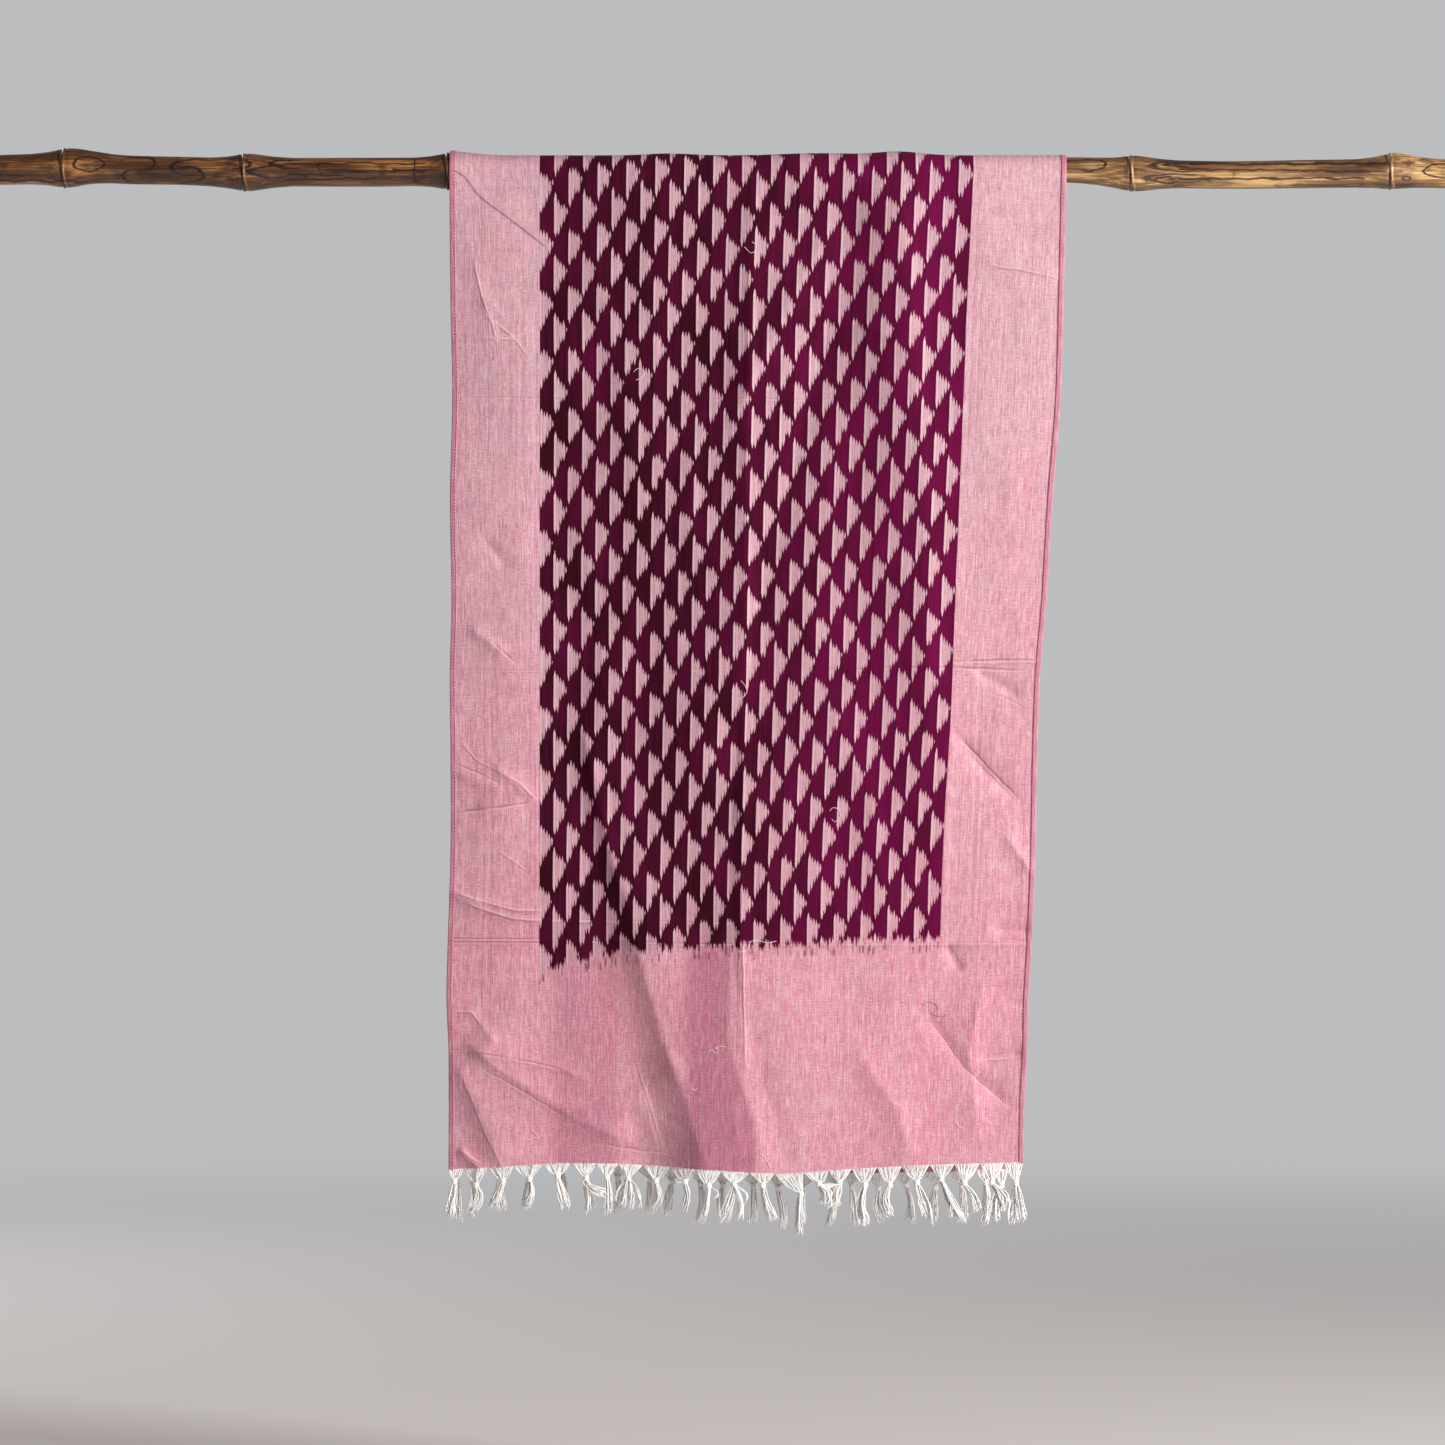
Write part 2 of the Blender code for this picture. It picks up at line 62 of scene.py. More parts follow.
# Cloth, as the solids have it
CLOTH_WIDTH = 0.560
CLOTH_LIFT = 0.0008
ROD_RADIUS = 0.0127
ROD_CLEARANCE = 0.0006
DRAPE_SPREAD = 0.028
DRAPE_FADE = 0.070
TOP_RISE_X = 0.055
TOP_RISE_WIDTH = 0.045
TOP_RISE = 0.0020
FOLD_START = 0.045
WAVE_FADE = 0.060
CREASE_FADE = 0.030
RIDGE_ROUND = 0.12
QUARTER_ARC = 0.0215
FRONT = -1
BACK = 1

# How finely the cloth is divided
SHEET_COLUMNS = 190
FRONT_ROWS = 460
BACK_ROWS = 430
SADDLE_ROWS = 34
DENSE_REACH = 0.006
DENSE_GAIN = 1.2
CROWDED_COLUMNS = ((0.04, 0.054), (0.484, 0.012), (0.96, 0.054))
LOW_CENTRE = 0.90
LOW_REACH = 0.16
FINE_SHARES = 4001

# Small unevenness of the cloth: size of the patches and how far they stand out
Crumple = namedtuple("Crumple", "across along height")
CRUMPLES = table(Crumple, 0, (120, 160, 2.6), (46, 75, 1.3), (17, 32, 0.42))
CRUMPLE_LAYER = 3.7

# Turned side hems and their stitches: across the hem from the edge, how far and how thick, as shares
HEM_SHARES = (0.00, 0.12, 0.35, 0.60, 0.86, 1.00)
HEM_HEIGHTS = (0.25, 0.85, 1.00, 0.80, 1.05, 0.45)
FRONT_HEM_ROWS = 330
BACK_HEM_ROWS = 300
STITCH_COLUMN = 4
HEM_WIDTH = 0.0050
HEM_HALF = 0.00050
STITCH_PITCH = 0.0030
STITCH_LENGTH = 0.0020
STITCH_RADIUS = 0.00036
STITCH_PLACES = (0.0, 0.25, 0.75, 1.0)
STITCH_LIFTS = (0.5, 1.05, 1.05, 0.5)

# The ikat field, in the flat cloth: how far from the left edge, and how far from the line over the pole
FIELD_LEFT = 0.0815
FIELD_RIGHT = 0.4735
FIELD_COLUMNS = 30
REPEAT = 0.0538
FIRST_FIGURE = 0.0390
EARLY_DRIFT = 0.00170
EARLY_COLUMNS = 12
LATE_DRIFT = 0.00088
FIELD_END = 0.7255
FIELD_END_SLOPE = -0.0120
FIELD_END_BEND = 0.39
FIELD_END_TURN = 0.0170
BACK_END = 0.7350

# Side edges of the falls
Edge = namedtuple("Edge", "drop left right")
FRONT_EDGES = table(
    Edge, 0,
    (0, -279.5, 278.6), (117, -278.6, 275.9), (207, -277.0, 273.2), (298, -279.0, 266.0),
    (389, -277.7, 260.5), (457, -279.2, 254.8), (525, -278.6, 252.3), (615, -278.6, 250.5),
    (706, -281.3, 246.9), (751, -282.2, 244.2), (796, -280.4, 243.3), (842, -280.2, 240.6),
    (905, -280.4, 239.7),
)
BACK_EDGES = table(
    Edge, 0,
    (0, -279.5, 278.6), (150, -276.5, 274.0), (300, -276.0, 264.8), (450, -275.5, 254.2),
    (600, -276.0, 249.8), (750, -278.0, 243.2), (910, -277.0, 238.6),
)

# Where the ikat field's two sides lie on each fall
FRONT_FIELD = table(
    Edge, 0,
    (0, -198.0, 194.5), (94, -198.0, 189.8), (162, -197.8, 187.1), (321, -198.0, 180.7), (411, -197.8, 177.1),
    (502, -198.0, 173.5), (570, -198.0, 169.0), (660, -198.2, 165.3), (905, -198.5, 161.0),
)
BACK_FIELD = table(
    Edge, 0, (0, -198.0, 194.5), (300, -195.8, 186.2), (600, -196.0, 172.5), (910, -197.5, 165.0)
)

# How far down each hem hangs, from left to right
Hem = namedtuple("Hem", "x drop")
FRONT_HEM = table(
    Hem, 0,
    (-282, 905.2), (-249, 903.3), (-180, 899.4), (-125, 900.2), (-38, 905.0), (20, 908.0), (92, 904.0),
    (164, 900.6), (240, 898.8),
)
BACK_HEM = table(
    Hem, 0,
    (-280, 903.0), (-260, 901.0), (-200, 893.0), (-150, 895.5), (-120, 902.0), (-20, 908.5), (110, 909.0),
    (250, 906.5),
)

# Long soft folds, as the solids have them. A height is outwards, away from the pole.
Wave = namedtuple("Wave", "top_x top_drop low_x low_drop top_height low_height top_width low_width")
FRONT_WAVES = table(
    Wave, 0,
    (-5, 30, -8, 910, 1.5, 10.0, 45, 85),
    (-174, 500, -98, 910, -1.6, -6.2, 15, 30),
    (-143, 500, -40, 910, 2.0, 5.0, 16, 34),
    (116, 20, 152, 600, 4.2, 3.0, 28, 50),
    (78, 30, 100, 450, -2.2, -1.2, 16, 22),
    (66, 130, -40, 640, -1.8, -2.4, 26, 30),
    (-240, 50, -212, 910, 2.6, 4.2, 35, 50),
    (278, 150, 242, 910, -0.8, -3.6, 40, 60),
    (-110, 20, -70, 450, 2.4, 1.6, 30, 40),
)
BACK_WAVES = table(
    Wave, 0,
    (10, 30, -10, 910, 1.5, 8.5, 50, 80),
    (120, 350, 85, 910, -1.2, -4.8, 20, 32),
    (-120, 20, -150, 700, 3.6, 3.0, 30, 45),
    (-70, 100, -75, 910, -1.4, -3.0, 20, 28),
    (200, 50, 185, 910, 3.0, 4.8, 35, 50),
    (-270, 100, -272, 910, -0.8, -3.0, 35, 50),
)

# Creases: the height, the reach on the right or upper side and on the other side, and the points of the line
Crease = namedtuple("Crease", "height near far points")
PACKING_DROPS = (0.207, 0.451, 0.698)


def crease_table(*rows):
    """Creases, from millimetres to metres."""
    return [Crease(height * MM, near * MM, far * MM, line(*points)) for height, near, far, *points in rows]


FRONT_CREASES = crease_table(
    # across the cloth, where it was folded in its packet
    (1.3, 4, 4, (-290, 206.5), (0, 208.5), (290, 207.0)),
    (1.5, 4, 4, (-290, 451.5), (100, 450.5), (205, 449.0)),
    (3.4, 4, 3, (190, 449.5), (230, 444.0), (262, 443.5)),
    (2.4, 3, 3, (-290, 696.0), (-150, 696.5), (0, 700.5), (260, 701.0)),
    (1.2, 2, 3, (-205, 680.0), (-25, 679.5)),
    # down the middle
    (3.4, 7, 12, (-5, 0), (-12, 350), (-16, 710), (-11, 815)),
    (2.6, 8, 16, (-23, 832), (-18, 896)),
    (2.0, 6, 10, (-9, 838), (2, 880), (4, 906)),
    # the two bands that curve in from the left edge
    (2.6, 4, 5, (-290, 649.0), (-251, 661.5), (-220, 669.0), (-190, 669.5)),
    (2.8, 4, 5, (-275, 658.0), (-242, 671.0), (-220, 676.5), (-190, 679.0)),
    # the broad fold that opens to the lower left
    (5.6, 6, 10, (-157, 500), (-151, 538), (-140, 588), (-124, 655)),
    (3.1, 8, 10, (-126, 630), (-105, 720), (-88, 780), (-68, 833)),
    (3.2, 9, 12, (-84, 790), (-61, 855), (-45, 908)),
    (2.6, 8, 18, (-113, 822), (-101, 852), (-93, 888)),
    (5.0, 30, 9, (-266, 786), (-237, 811), (-210, 829), (-166, 857), (-112, 882)),
    (6.0, 26, 15, (-276, 800), (-255, 845), (-244, 870), (-229, 912)),
    (4.0, 5, 6, (-272, 884), (-246, 909)),
    (2.4, 4, 5, (-268, 796), (-231.5, 802), (-176, 813), (-150, 826)),
    (1.8, 5, 6, (-266, 756), (-250, 773), (-236, 793)),
    # small ones of the right border
    (-4.8, 7, 6, (176, 506), (205, 545), (235, 571)),
    (-3.5, 6, 5, (194, 452), (236, 477)),
    (3.2, 4, 6, (192, 80), (237, 88), (274, 93)),
    (1.9, 3, 3, (197, -6), (272, -5)),
    (-3.2, 6, 6, (211, 687), (248, 688)),
    (-3.8, 6, 6, (168, 699), (183, 726)),
    (-3.2, 5, 6, (196, 805), (241, 798)),
    (-3.5, 9, 9, (150, 760), (185, 812), (232, 850)),
    (3.2, 10, 12, (85, 790), (125, 850), (140, 903)),
    (2.9, 10, 14, (205, 730), (190, 800), (200, 880)),
    (3.2, 6, 6, (222, 600), (250, 640)),
    # small ones of the left border
    (1.3, 4, 5, (-257.5, 80), (-252, 106), (-244, 130), (-238.5, 148)),
    (1.0, 4, 5, (-250, 112), (-226, 139)),
    (1.2, 4, 6, (-260, 142.0), (-226, 146.5), (-200, 146.5)),
    (3.5, 5, 7, (-263, 413), (-227, 439)),
    (3.2, 5, 6, (-275, 546), (-229, 561)),
    (3.8, 6, 7, (-240, 538), (-200, 571)),
    (2.9, 5, 6, (-256, 577), (-214, 573)),
    (-2.9, 8, 8, (-252, 330), (-226, 362)),
    # soft ones in the field
    (2.4, 10, 10, (70, 44), (1, 171), (-26, 235)),
    (2.0, 9, 9, (-62, 235), (-62, 361)),
    (3.8, 14, 26, (128, 8), (146, 244), (155, 470)),
    (-3.0, 14, 14, (65, 126), (10, 361), (-17, 479), (-26, 606)),
    (-2.6, 14, 16, (-26, 606), (-20, 740), (28, 905)),
    (1.6, 3, 3, (49, 132), (92, 143), (136, 157)),
    (2.2, 10, 14, (-150, 60), (-118, 220), (-110, 330)),
    (2.2, 12, 12, (62, 480), (105, 590), (112, 690)),
    (-1.8, 10, 10, (-185, 250), (-165, 420)),
)
BACK_CREASES = crease_table(
    (1.4, 4, 4, (-290, 208.5), (290, 206.5)),
    (1.8, 4, 4, (-290, 449.0), (290, 452.5)),
    (2.2, 3, 4, (-290, 697.0), (290, 699.0)),
    (-3.0, 9, 13, (-2, 0), (-12, 920)),
    (-3.4, 9, 16, (80, 760), (150, 815), (235, 850)),
    (-2.4, 8, 10, (-250, 520), (-190, 590)),
    (2.6, 5, 6, (270, 636), (205, 660), (130, 664)),
    (2.2, 6, 8, (262, 290), (215, 330)),
    (5.0, 30, 18, (130, 540), (105, 700), (60, 905)),
    (2.0, 6, 6, (-262, 120), (-200, 150)),
    (3.0, 12, 20, (-120, 30), (-140, 300), (-150, 500)),
    (-2.4, 12, 12, (40, 140), (20, 380), (40, 560)),
    (3.4, 14, 20, (-200, 700), (-160, 800), (-150, 905)),
    (2.0, 6, 8, (262, 520), (225, 545)),
    (-1.8, 6, 6, (-268, 820), (-210, 850)),
)

# Sharp fine creases, drawn as lines of painted highlight and painted shade: the tone, above 0 pale and below
# 0 dark, and the points of the line
FineCrease = namedtuple("FineCrease", "tone points")
FINE_REACH = 0.0060
FINE_FADE = 0.0120


def fine_table(*rows):
    """Fine creases, from millimetres to metres."""
    return [FineCrease(tone, line(*points)) for tone, *points in rows]


FRONT_FINE = fine_table(
    # upper left border
    (0.9, (-257, 82), (-250, 115), (-240, 141), (-235, 163)),
    (0.8, (-250, 129), (-221, 152), (-205, 173)),
    (0.5, (-259, 151), (-216, 154)),
    # left border, from the middle down
    (-0.9, (-243, 425), (-228, 438), (-217, 448)),
    (0.8, (-270, 516), (-254, 534), (-216, 554), (-198, 573)),
    (-0.9, (-276, 536), (-254, 545), (-232, 555)),
    (-0.8, (-276, 581), (-241, 577), (-203, 571)),
    (0.6, (-239, 613), (-207, 635)),
    # the two bands that curve in from the left edge
    (0.9, (-277, 652), (-251, 661), (-221, 669), (-191, 670)),
    (0.9, (-265, 662), (-242, 671), (-221, 677), (-198, 679), (-132, 680)),
    # lower left
    (0.7, (-278, 760), (-258, 762), (-250, 776)),
    (-0.8, (-261, 797), (-211, 805), (-176, 813)),
    (0.6, (-269, 815), (-246, 873), (-231, 901)),
    (0.8, (-271, 884), (-258, 894), (-246, 902)),
    (-0.5, (-258, 806), (-243, 816), (-207, 836), (-174, 857)),
    (-0.6, (-144, 880), (-107, 887), (-78, 889)),
    (0.5, (-111, 805), (-96, 851), (-86, 887)),
    # down the middle
    (0.5, (-8, 50), (-12, 350), (-15, 690)),
    (0.9, (-14, 690), (-13, 760), (-11, 825)),
    # right border
    (-1.0, (202, 443), (232, 443), (262, 443)),
    (-0.9, (174, 450), (205, 451), (244, 453)),
    (-0.9, (183, 514), (210, 543), (237, 570)),
    (0.7, (203, 85), (240, 91), (273, 98)),
    (-0.5, (210, 473), (228, 479), (246, 490)),
    (-0.6, (212, 696), (237, 697), (247, 697)),
    (-0.6, (174, 704), (188, 726)),
    (0.5, (201, 805), (228, 804), (241, 800)),
    (-0.5, (155, 769), (187, 813), (228, 849)),
)
BACK_FINE = fine_table(
    (0.8, (250, 110), (231, 142), (222, 171)),
    (-0.8, (262, 294), (240, 306), (214, 331)),
    (0.8, (262, 632), (236, 648), (205, 660), (140, 664)),
    (-0.8, (-262, 516), (-226, 548), (-196, 584)),
    (0.7, (-258, 118), (-230, 137), (-203, 149)),
    (-0.7, (90, 766), (150, 813), (226, 846)),
    (0.6, (-264, 822), (-236, 840), (-212, 850)),
    (0.8, (-10, 720), (-12, 800), (-12, 880)),
)

# The bamboo's growth rings: where each is, and how far it stands above the plain culm
Ring = namedtuple("Ring", "x swelling")
ROD_RINGS = table(
    Ring, 0,
    (-629.6, 4.0), (-466.5, 3.8), (-282.2, 4.0), (-81.1, 1.7), (127.3, 3.4), (336.8, 3.4), (571.6, 3.6),
)
PARTING_RING = 3

# One ring's profile: the share of its swelling, and the distance along the pole
Swell = namedtuple("Swell", "share along")
RING_PROFILE = table(
    Swell, 1,
    (0.00, -30), (0.34, -14), (0.74, -5), (0.82, -2.2), (0.70, -1.2), (1.06, -0.2), (1.12, 1), (0.96, 2),
    (1.00, 6), (0.78, 14), (0.34, 26), (0.00, 44),
)

# How the pole's own line rises and sinks beside the cloth, and its radius there
Bend = namedtuple("Bend", "x rise radius")
ROD_BENDS = table(
    Bend, 0,
    (-740, 0.0, 13.0), (-687, 0.9, 13.6), (-630, 2.4, 13.8), (-607, 3.2, 13.6), (-568, 0.9, 13.0),
    (-522, 0.0, 12.8), (-480, -1.4, 13.2), (-432, -1.2, 13.0), (-342, -1.2, 13.1), (-295, -0.6, 12.7),
    (-250, 0.0, 12.5), (250, 0.0, 11.8), (282, 0.8, 11.5), (307, -0.4, 12.4), (328, -2.0, 12.7),
    (371, -2.9, 12.6), (429, -3.7, 12.5), (496, -2.9, 12.8), (545, -2.2, 12.9), (567, -0.9, 12.8),
    (580, 0.0, 12.8), (607, -1.9, 13.0), (622, -2.6, 13.1), (670, -1.0, 12.6),
)
ROD_LEFT_END = -0.740
ROD_RIGHT_END = 0.670
ROD_PARTING = ROD_RINGS[PARTING_RING].x
ROD_SIDES = 56
ROD_STEP = 0.0030
ROD_EDGE = 0.0008
ROD_SHARP = math.radians(50)
RING_REACH = 0.0060
RING_STEP = 0.0006

# The front tassels, from left to right: the right end of each fan, its knot, its tip, how far its skirt bows
# to the right and how wide it spreads
Tassel = namedtuple("Tassel", "right knot_x knot_drop tip_x tip_drop bow spread")
FRONT_TASSELS = table(
    Tassel, 0,
    (-266.6, -275.1, 914.7, -280.0, 947.7, 0, 4.0),
    (-245.3, -255.4, 917.6, -259.8, 944.8, 5, 3.6),
    (-221.3, -231.3, 914.7, -239.6, 940.2, -1, 4.6),
    (-195.5, -207.3, 912.2, -211.3, 940.7, 3, 3.6),
    (-170.2, -181.8, 910.1, -174.4, 940.2, -1, 4.2),
    (-146.8, -156.0, 911.8, -154.7, 944.8, 1, 3.4),
    (-126.7, -137.5, 911.0, -137.0, 945.3, 1, 3.6),
    (-104.3, -118.0, 911.8, -118.9, 940.7, 0, 7.2),
    (-79.8, -92.9, 914.7, -92.7, 937.7, 3, 4.0),
    (-56.3, -66.3, 914.5, -66.7, 941.9, 2, 3.8),
    (-33.6, -45.3, 917.9, -49.4, 944.8, 0, 3.4),
    (-8.1, -22.2, 916.4, -32.0, 951.7, 1, 4.2),
    (14.6, 3.8, 917.6, 13.0, 949.9, -2, 4.0),
    (40.3, 38.0, 926.0, 37.0, 962.1, -1, 3.2),
    (63.5, 54.5, 916.5, 58.5, 937.0, 3, 5.2),
    (84.3, 73.0, 915.8, 69.5, 939.0, -3, 5.0),
    (107.4, 96.0, 917.6, 96.0, 954.3, -4, 3.8),
    (129.7, 118.5, 917.6, 119.4, 945.9, -4, 3.8),
    (154.8, 143.2, 915.8, 152.5, 947.0, 0, 4.2),
    (177.5, 165.1, 912.8, 184.4, 951.9, -2, 4.0),
    (200.5, 186.1, 916.4, 197.0, 942.9, 2, 4.0),
    (222.2, 211.0, 915.8, 221.0, 942.2, 2, 4.0),
    (239.7, 232.7, 915.8, 236.0, 951.9, 0, 5.8),
)

# Groups of threads thrown out of a tassel: its number, how many, their reach from the knot and their bow
Wisp = namedtuple("Wisp", "tassel threads right down bow spread")
WISPS = table(
    Wisp, 2,
    (5, 26, 16.0, 15.0, -5, 3.0),
    (7, 10, 9.0, 26.0, 4, 5.0),
    (7, 10, -8.5, 23.0, -3, 4.0),
    (9, 3, -11.0, 5.0, 4, 2.0),
    (10, 2, 3.0, 12.0, 8, 1.0),
    (11, 12, 4.0, 33.0, 4, 5.0),
    (11, 2, 8.0, 20.0, 6, 1.6),
    (14, 14, 8.0, 14.0, 4, 4.0),
    (15, 22, -15.0, 6.0, -2, 3.0),
    (15, 10, -8.0, 24.0, 3, 4.0),
    (18, 6, 11.0, 38.0, 2, 3.0),
    (19, 14, 9.0, 33.0, 3, 3.0),
    (21, 16, 12.0, 21.0, 4, 3.0),
    (22, 3, -8.0, 40.0, -3, 1.6),
)

# The back tassels: where their knots hang, from left to right, and how far each strays
BACK_KNOTS = [x * MM for x in (
    -274.0, -261.2, -233.0, -208.0, -180.0, -156.0, -128.2, -98.8, -78.6, -52.8, -32.5, -4.8,
    17.5, 42.0, 68.4, 84.7, 108.9, 134.4, 160.8, 185.0, 206.6, 221.0, 234.0,
)]
BACK_KNOT_BELOW_HEM = 0.0125
BACK_KNOT_STRAY = 0.0018
BACK_TASSEL_LENGTH = 0.0350
BACK_TASSEL_STRAY = 0.0035
BACK_TIP_STRAY = 0.0050
BACK_BOW = 0.003
BACK_SPREAD = 0.0042

# Yarn of the fringe
FAN_THREADS = 17
FAN_POINTS = 7
FAN_RADIUS = 0.00044
FAN_SAG = 0.0022
FAN_BELLY = 0.0012
FAN_OVER_HEM = 0.0010
FAN_GAPS = (0.0006, 0.0008, 0.0004)
FAN_STRAY = 0.0003
FAN_SAGS = (0.1, 1.5)
MOUTH_LEVEL = 0.25
TIP_LIFT = 0.0010
WISP_OUT = 0.0015
MOUTH_HALF = 0.0017
MOUTH_STRAY = 0.0004
MOUTH_DEPTH = 0.0011
SKIRT_THREADS = 36
SKIRT_LEAST = 20
SKIRT_LOCKS = 7
SKIRT_POINTS = 9
SKIRT_BELLY = 0.12
YARN_RADIUS = 0.00047
KNOT_RADIUS = 0.0022
KNOT_HEIGHT = 0.0056
KNOT_WRAPS = 6
KNOT_CORNERS = 12
WRAP_RADIUS = 0.00065
WRAP_OVERLAP = 0.05
KNOT_TAPER = 1.1
KNOT_WIDTH = 1.12
KNOT_THICKNESS = 0.92
WRAP_SIZES = (0.92, 1.10)
WRAP_TILT = 0.30
WRAP_TILT_STRAY = 0.35
WRAP_PACKING = 0.85

# How the locks of a skirt stray, and the threads of a lock
LOCK_TURN = 0.5
LOCK_REACH = (0.45, 1.0)
LOCK_LEAN = 0.0012
LOCK_DROP = (-0.0012, 0.0016)
LOCK_FLATNESS = 0.6
ROOT_WIDTH = 0.0014
ROOT_THICKNESS = 0.0012
ROOT_STRAY = 0.0006
ROOT_LEVEL = 0.2
END_STRAY_X = 0.34
END_STRAY_Y = 0.26
FLYAWAY = 2.2
FLYAWAY_POWER = 7
THREAD_LEAN = 0.0005
THREAD_CUT = (-0.0022, 0.0040)
THREAD_WAVE = (0.0002, 0.0009)
THREAD_TURNS = (5.0, 12.0)
THREAD_END = 0.50
BELLY_POWER = 0.65
BELLY_FADE = 0.4
BELLY_FLATNESS = 0.8

# Loose thread ends on the cloth: the points, across and down, that each runs through
Mark = namedtuple("Mark", "number x drop")
PALE_ENDS = (
    line((-13, 70), (-7.5, 75.5), (-3.5, 74), (-2, 69), (-6, 65.5)),
    line((-113, 183), (-108.5, 180), (-103.5, 183.5), (-106, 188), (-111, 190.5)),
    line((-16, 462), (-12.5, 466.5), (-10.5, 472), (-14, 477), (-19.5, 479)),
    line((64, 580), (67.5, 577), (72.5, 579), (73.5, 585), (69, 589.5), (66, 587)),
    line((-17.7, 707.6), (-10.4, 704.9), (-7.7, 698.5), (-2.3, 696.7), (8, 699), (16, 697.5)),
    line(
        (-45.8, 800.4), (-44.8, 796.7), (-42.1, 795.8), (-38.1, 798.6), (-36.7, 794.8), (-39.1, 793.9),
        (-34.5, 792.5), (-29.8, 793.0),
    ),
    line((-208.8, 877.4), (-204.2, 875.2), (-198.6, 874.7), (-201.4, 871.9), (-204.2, 868.2)),
    line((179, 861.5), (181.5, 866), (186, 865), (185, 861)),
    line((-2, 889), (3, 890.5), (7.5, 896), (10, 901)),
    line((-60, 830), (-57.5, 832), (-56, 830.5)),
)
GREY_END = line((148, 756), (153, 753), (160, 754.5), (162, 760), (156, 762.5), (164, 766), (172, 764))
PLUM_END = line((-274.2, 1), (-264.1, 8.2), (-250.5, 25.4), (-225.1, 44.4), (-193.4, 68.9))
THREAD_RADIUS = 0.00022
THREAD_LIFT = 0.0005
PLUM_LIFT = 0.0008
THREAD_STEPS = 6

# All that shapes a fall
Fall = namedtuple("Fall", "side edges field hem waves creases fine")
FRONT_FALL = Fall(FRONT, FRONT_EDGES, FRONT_FIELD, FRONT_HEM, FRONT_WAVES, FRONT_CREASES, FRONT_FINE)
BACK_FALL = Fall(BACK, BACK_EDGES, BACK_FIELD, BACK_HEM, BACK_WAVES, BACK_CREASES, BACK_FINE)


def linear(red, green, blue):
    """A colour in the display's 0 to 255, as the linear numbers that a shader takes."""
    made = []
    for level in (red, green, blue):
        share = level / 255
        made.append(share / 12.92 if share <= 0.04045 else ((share + 0.055) / 1.055) ** 2.4)
    return (*made, 1.0)


def ease(value):
    """A smooth step from 0 to 1."""
    t = np.clip(value, 0.0, 1.0)
    return t * t * (3.0 - 2.0 * t)


def read(rows, key, column, at):
    """A smooth curve through one column of a table, read at values of its key column."""
    places = np.array([getattr(row, key) for row in rows])
    values = np.array([getattr(row, column) for row in rows])
    at = np.clip(at, places[0], places[-1])
    i = np.clip(np.searchsorted(places, at, side="right") - 1, 0, len(rows) - 2)
    before, after = np.maximum(i - 1, 0), np.minimum(i + 2, len(rows) - 1)
    span = places[i + 1] - places[i]
    t = (at - places[i]) / span
    rate_in = (values[i + 1] - values[before]) / (places[i + 1] - places[before]) * span
    rate_out = (values[after] - values[i]) / (places[after] - places[i]) * span
    return (
        values[i] * (2 * t**3 - 3 * t**2 + 1)
        + rate_in * (t**3 - 2 * t**2 + t)
        + values[i + 1] * (3 * t**2 - 2 * t**3)
        + rate_out * (t**3 - t**2)
    )


def wave_height(wave, x, drop):
    """One long fold's height at points of a fall."""
    share = (drop - wave.top_drop) / (wave.low_drop - wave.top_drop)
    inside = np.clip(share, 0.0, 1.0)
    outside = np.abs(share - inside) * (wave.low_drop - wave.top_drop)
    middle = wave.top_x + (wave.low_x - wave.top_x) * inside
    width = wave.top_width + (wave.low_width - wave.top_width) * inside
    height = wave.top_height + (wave.low_height - wave.top_height) * inside
    return height * np.exp(-(((x - middle) / width) ** 2) - (outside / WAVE_FADE) ** 2)


def beside_line(points, x, drop):
    """How points of a fall lie by a bent line: how far off, on which side, how far along, and its length."""
    points = np.array(points)
    lengths = np.hypot(*(points[1:] - points[:-1]).T)
    nearest = np.full(np.shape(x), np.inf)
    signed = np.zeros(np.shape(x))
    along = np.zeros(np.shape(x))
    start = 0.0
    for a, b, length in zip(points, points[1:], lengths):
        way = (b - a) / length
        from_x, from_drop = x - a[0], drop - a[1]
        run = np.clip(from_x * way[0] + from_drop * way[1], 0.0, length)
        away = np.hypot(from_x - run * way[0], from_drop - run * way[1])
        side = from_x * way[1] - from_drop * way[0]
        closer = away < nearest
        nearest = np.where(closer, away, nearest)
        signed = np.where(closer, np.sign(side), signed)
        along = np.where(closer, start + run, along)
        start += length
    return nearest, signed, along, start


def crease_height(crease, x, drop):
    """One crease's height at points of a fall: a ridge or trough along a bent line, with soft ends."""
    nearest, signed, along, total = beside_line(crease.points, x, drop)
    reach = np.where(signed > 0, crease.near, crease.far)
    profile = np.exp(RIDGE_ROUND - np.sqrt((nearest / reach) ** 2 + RIDGE_ROUND**2))
    fade = min(CREASE_FADE, total / 3)
    ends = ease((along + fade / 4) / fade) * ease((total - along + fade / 4) / fade)
    return crease.height * profile * ends


def fine_marks(fall, x, drop):
    """For points of a fall: the signed distance to the nearest fine crease, and its tone, which fades out."""
    away, tone = np.full(x.shape, FINE_REACH), np.zeros(x.shape)
    for crease in fall.fine:
        nearest, signed, along, total = beside_line(crease.points, x, drop)
        closer = nearest < np.abs(away)
        away = np.where(closer, nearest * signed, away)
        ends = ease(along / FINE_FADE) * ease((total - along) / FINE_FADE)
        tone = np.where(closer, crease.tone * ends, tone)
    return away, tone * ease(3.0 * (1.0 - np.abs(away) / FINE_REACH))


def drape_radius(x):
    """The radius of the cloth's inner face where it lies over the pole and its growth rings."""
    radius = ROD_RADIUS + ROD_CLEARANCE + TOP_RISE * np.exp(-(((x - TOP_RISE_X) / TOP_RISE_WIDTH) ** 2))
    for ring in ROD_RINGS:
        radius = radius + ring.swelling * np.exp(-(((x - ring.x) / DRAPE_SPREAD) ** 2))
    return radius


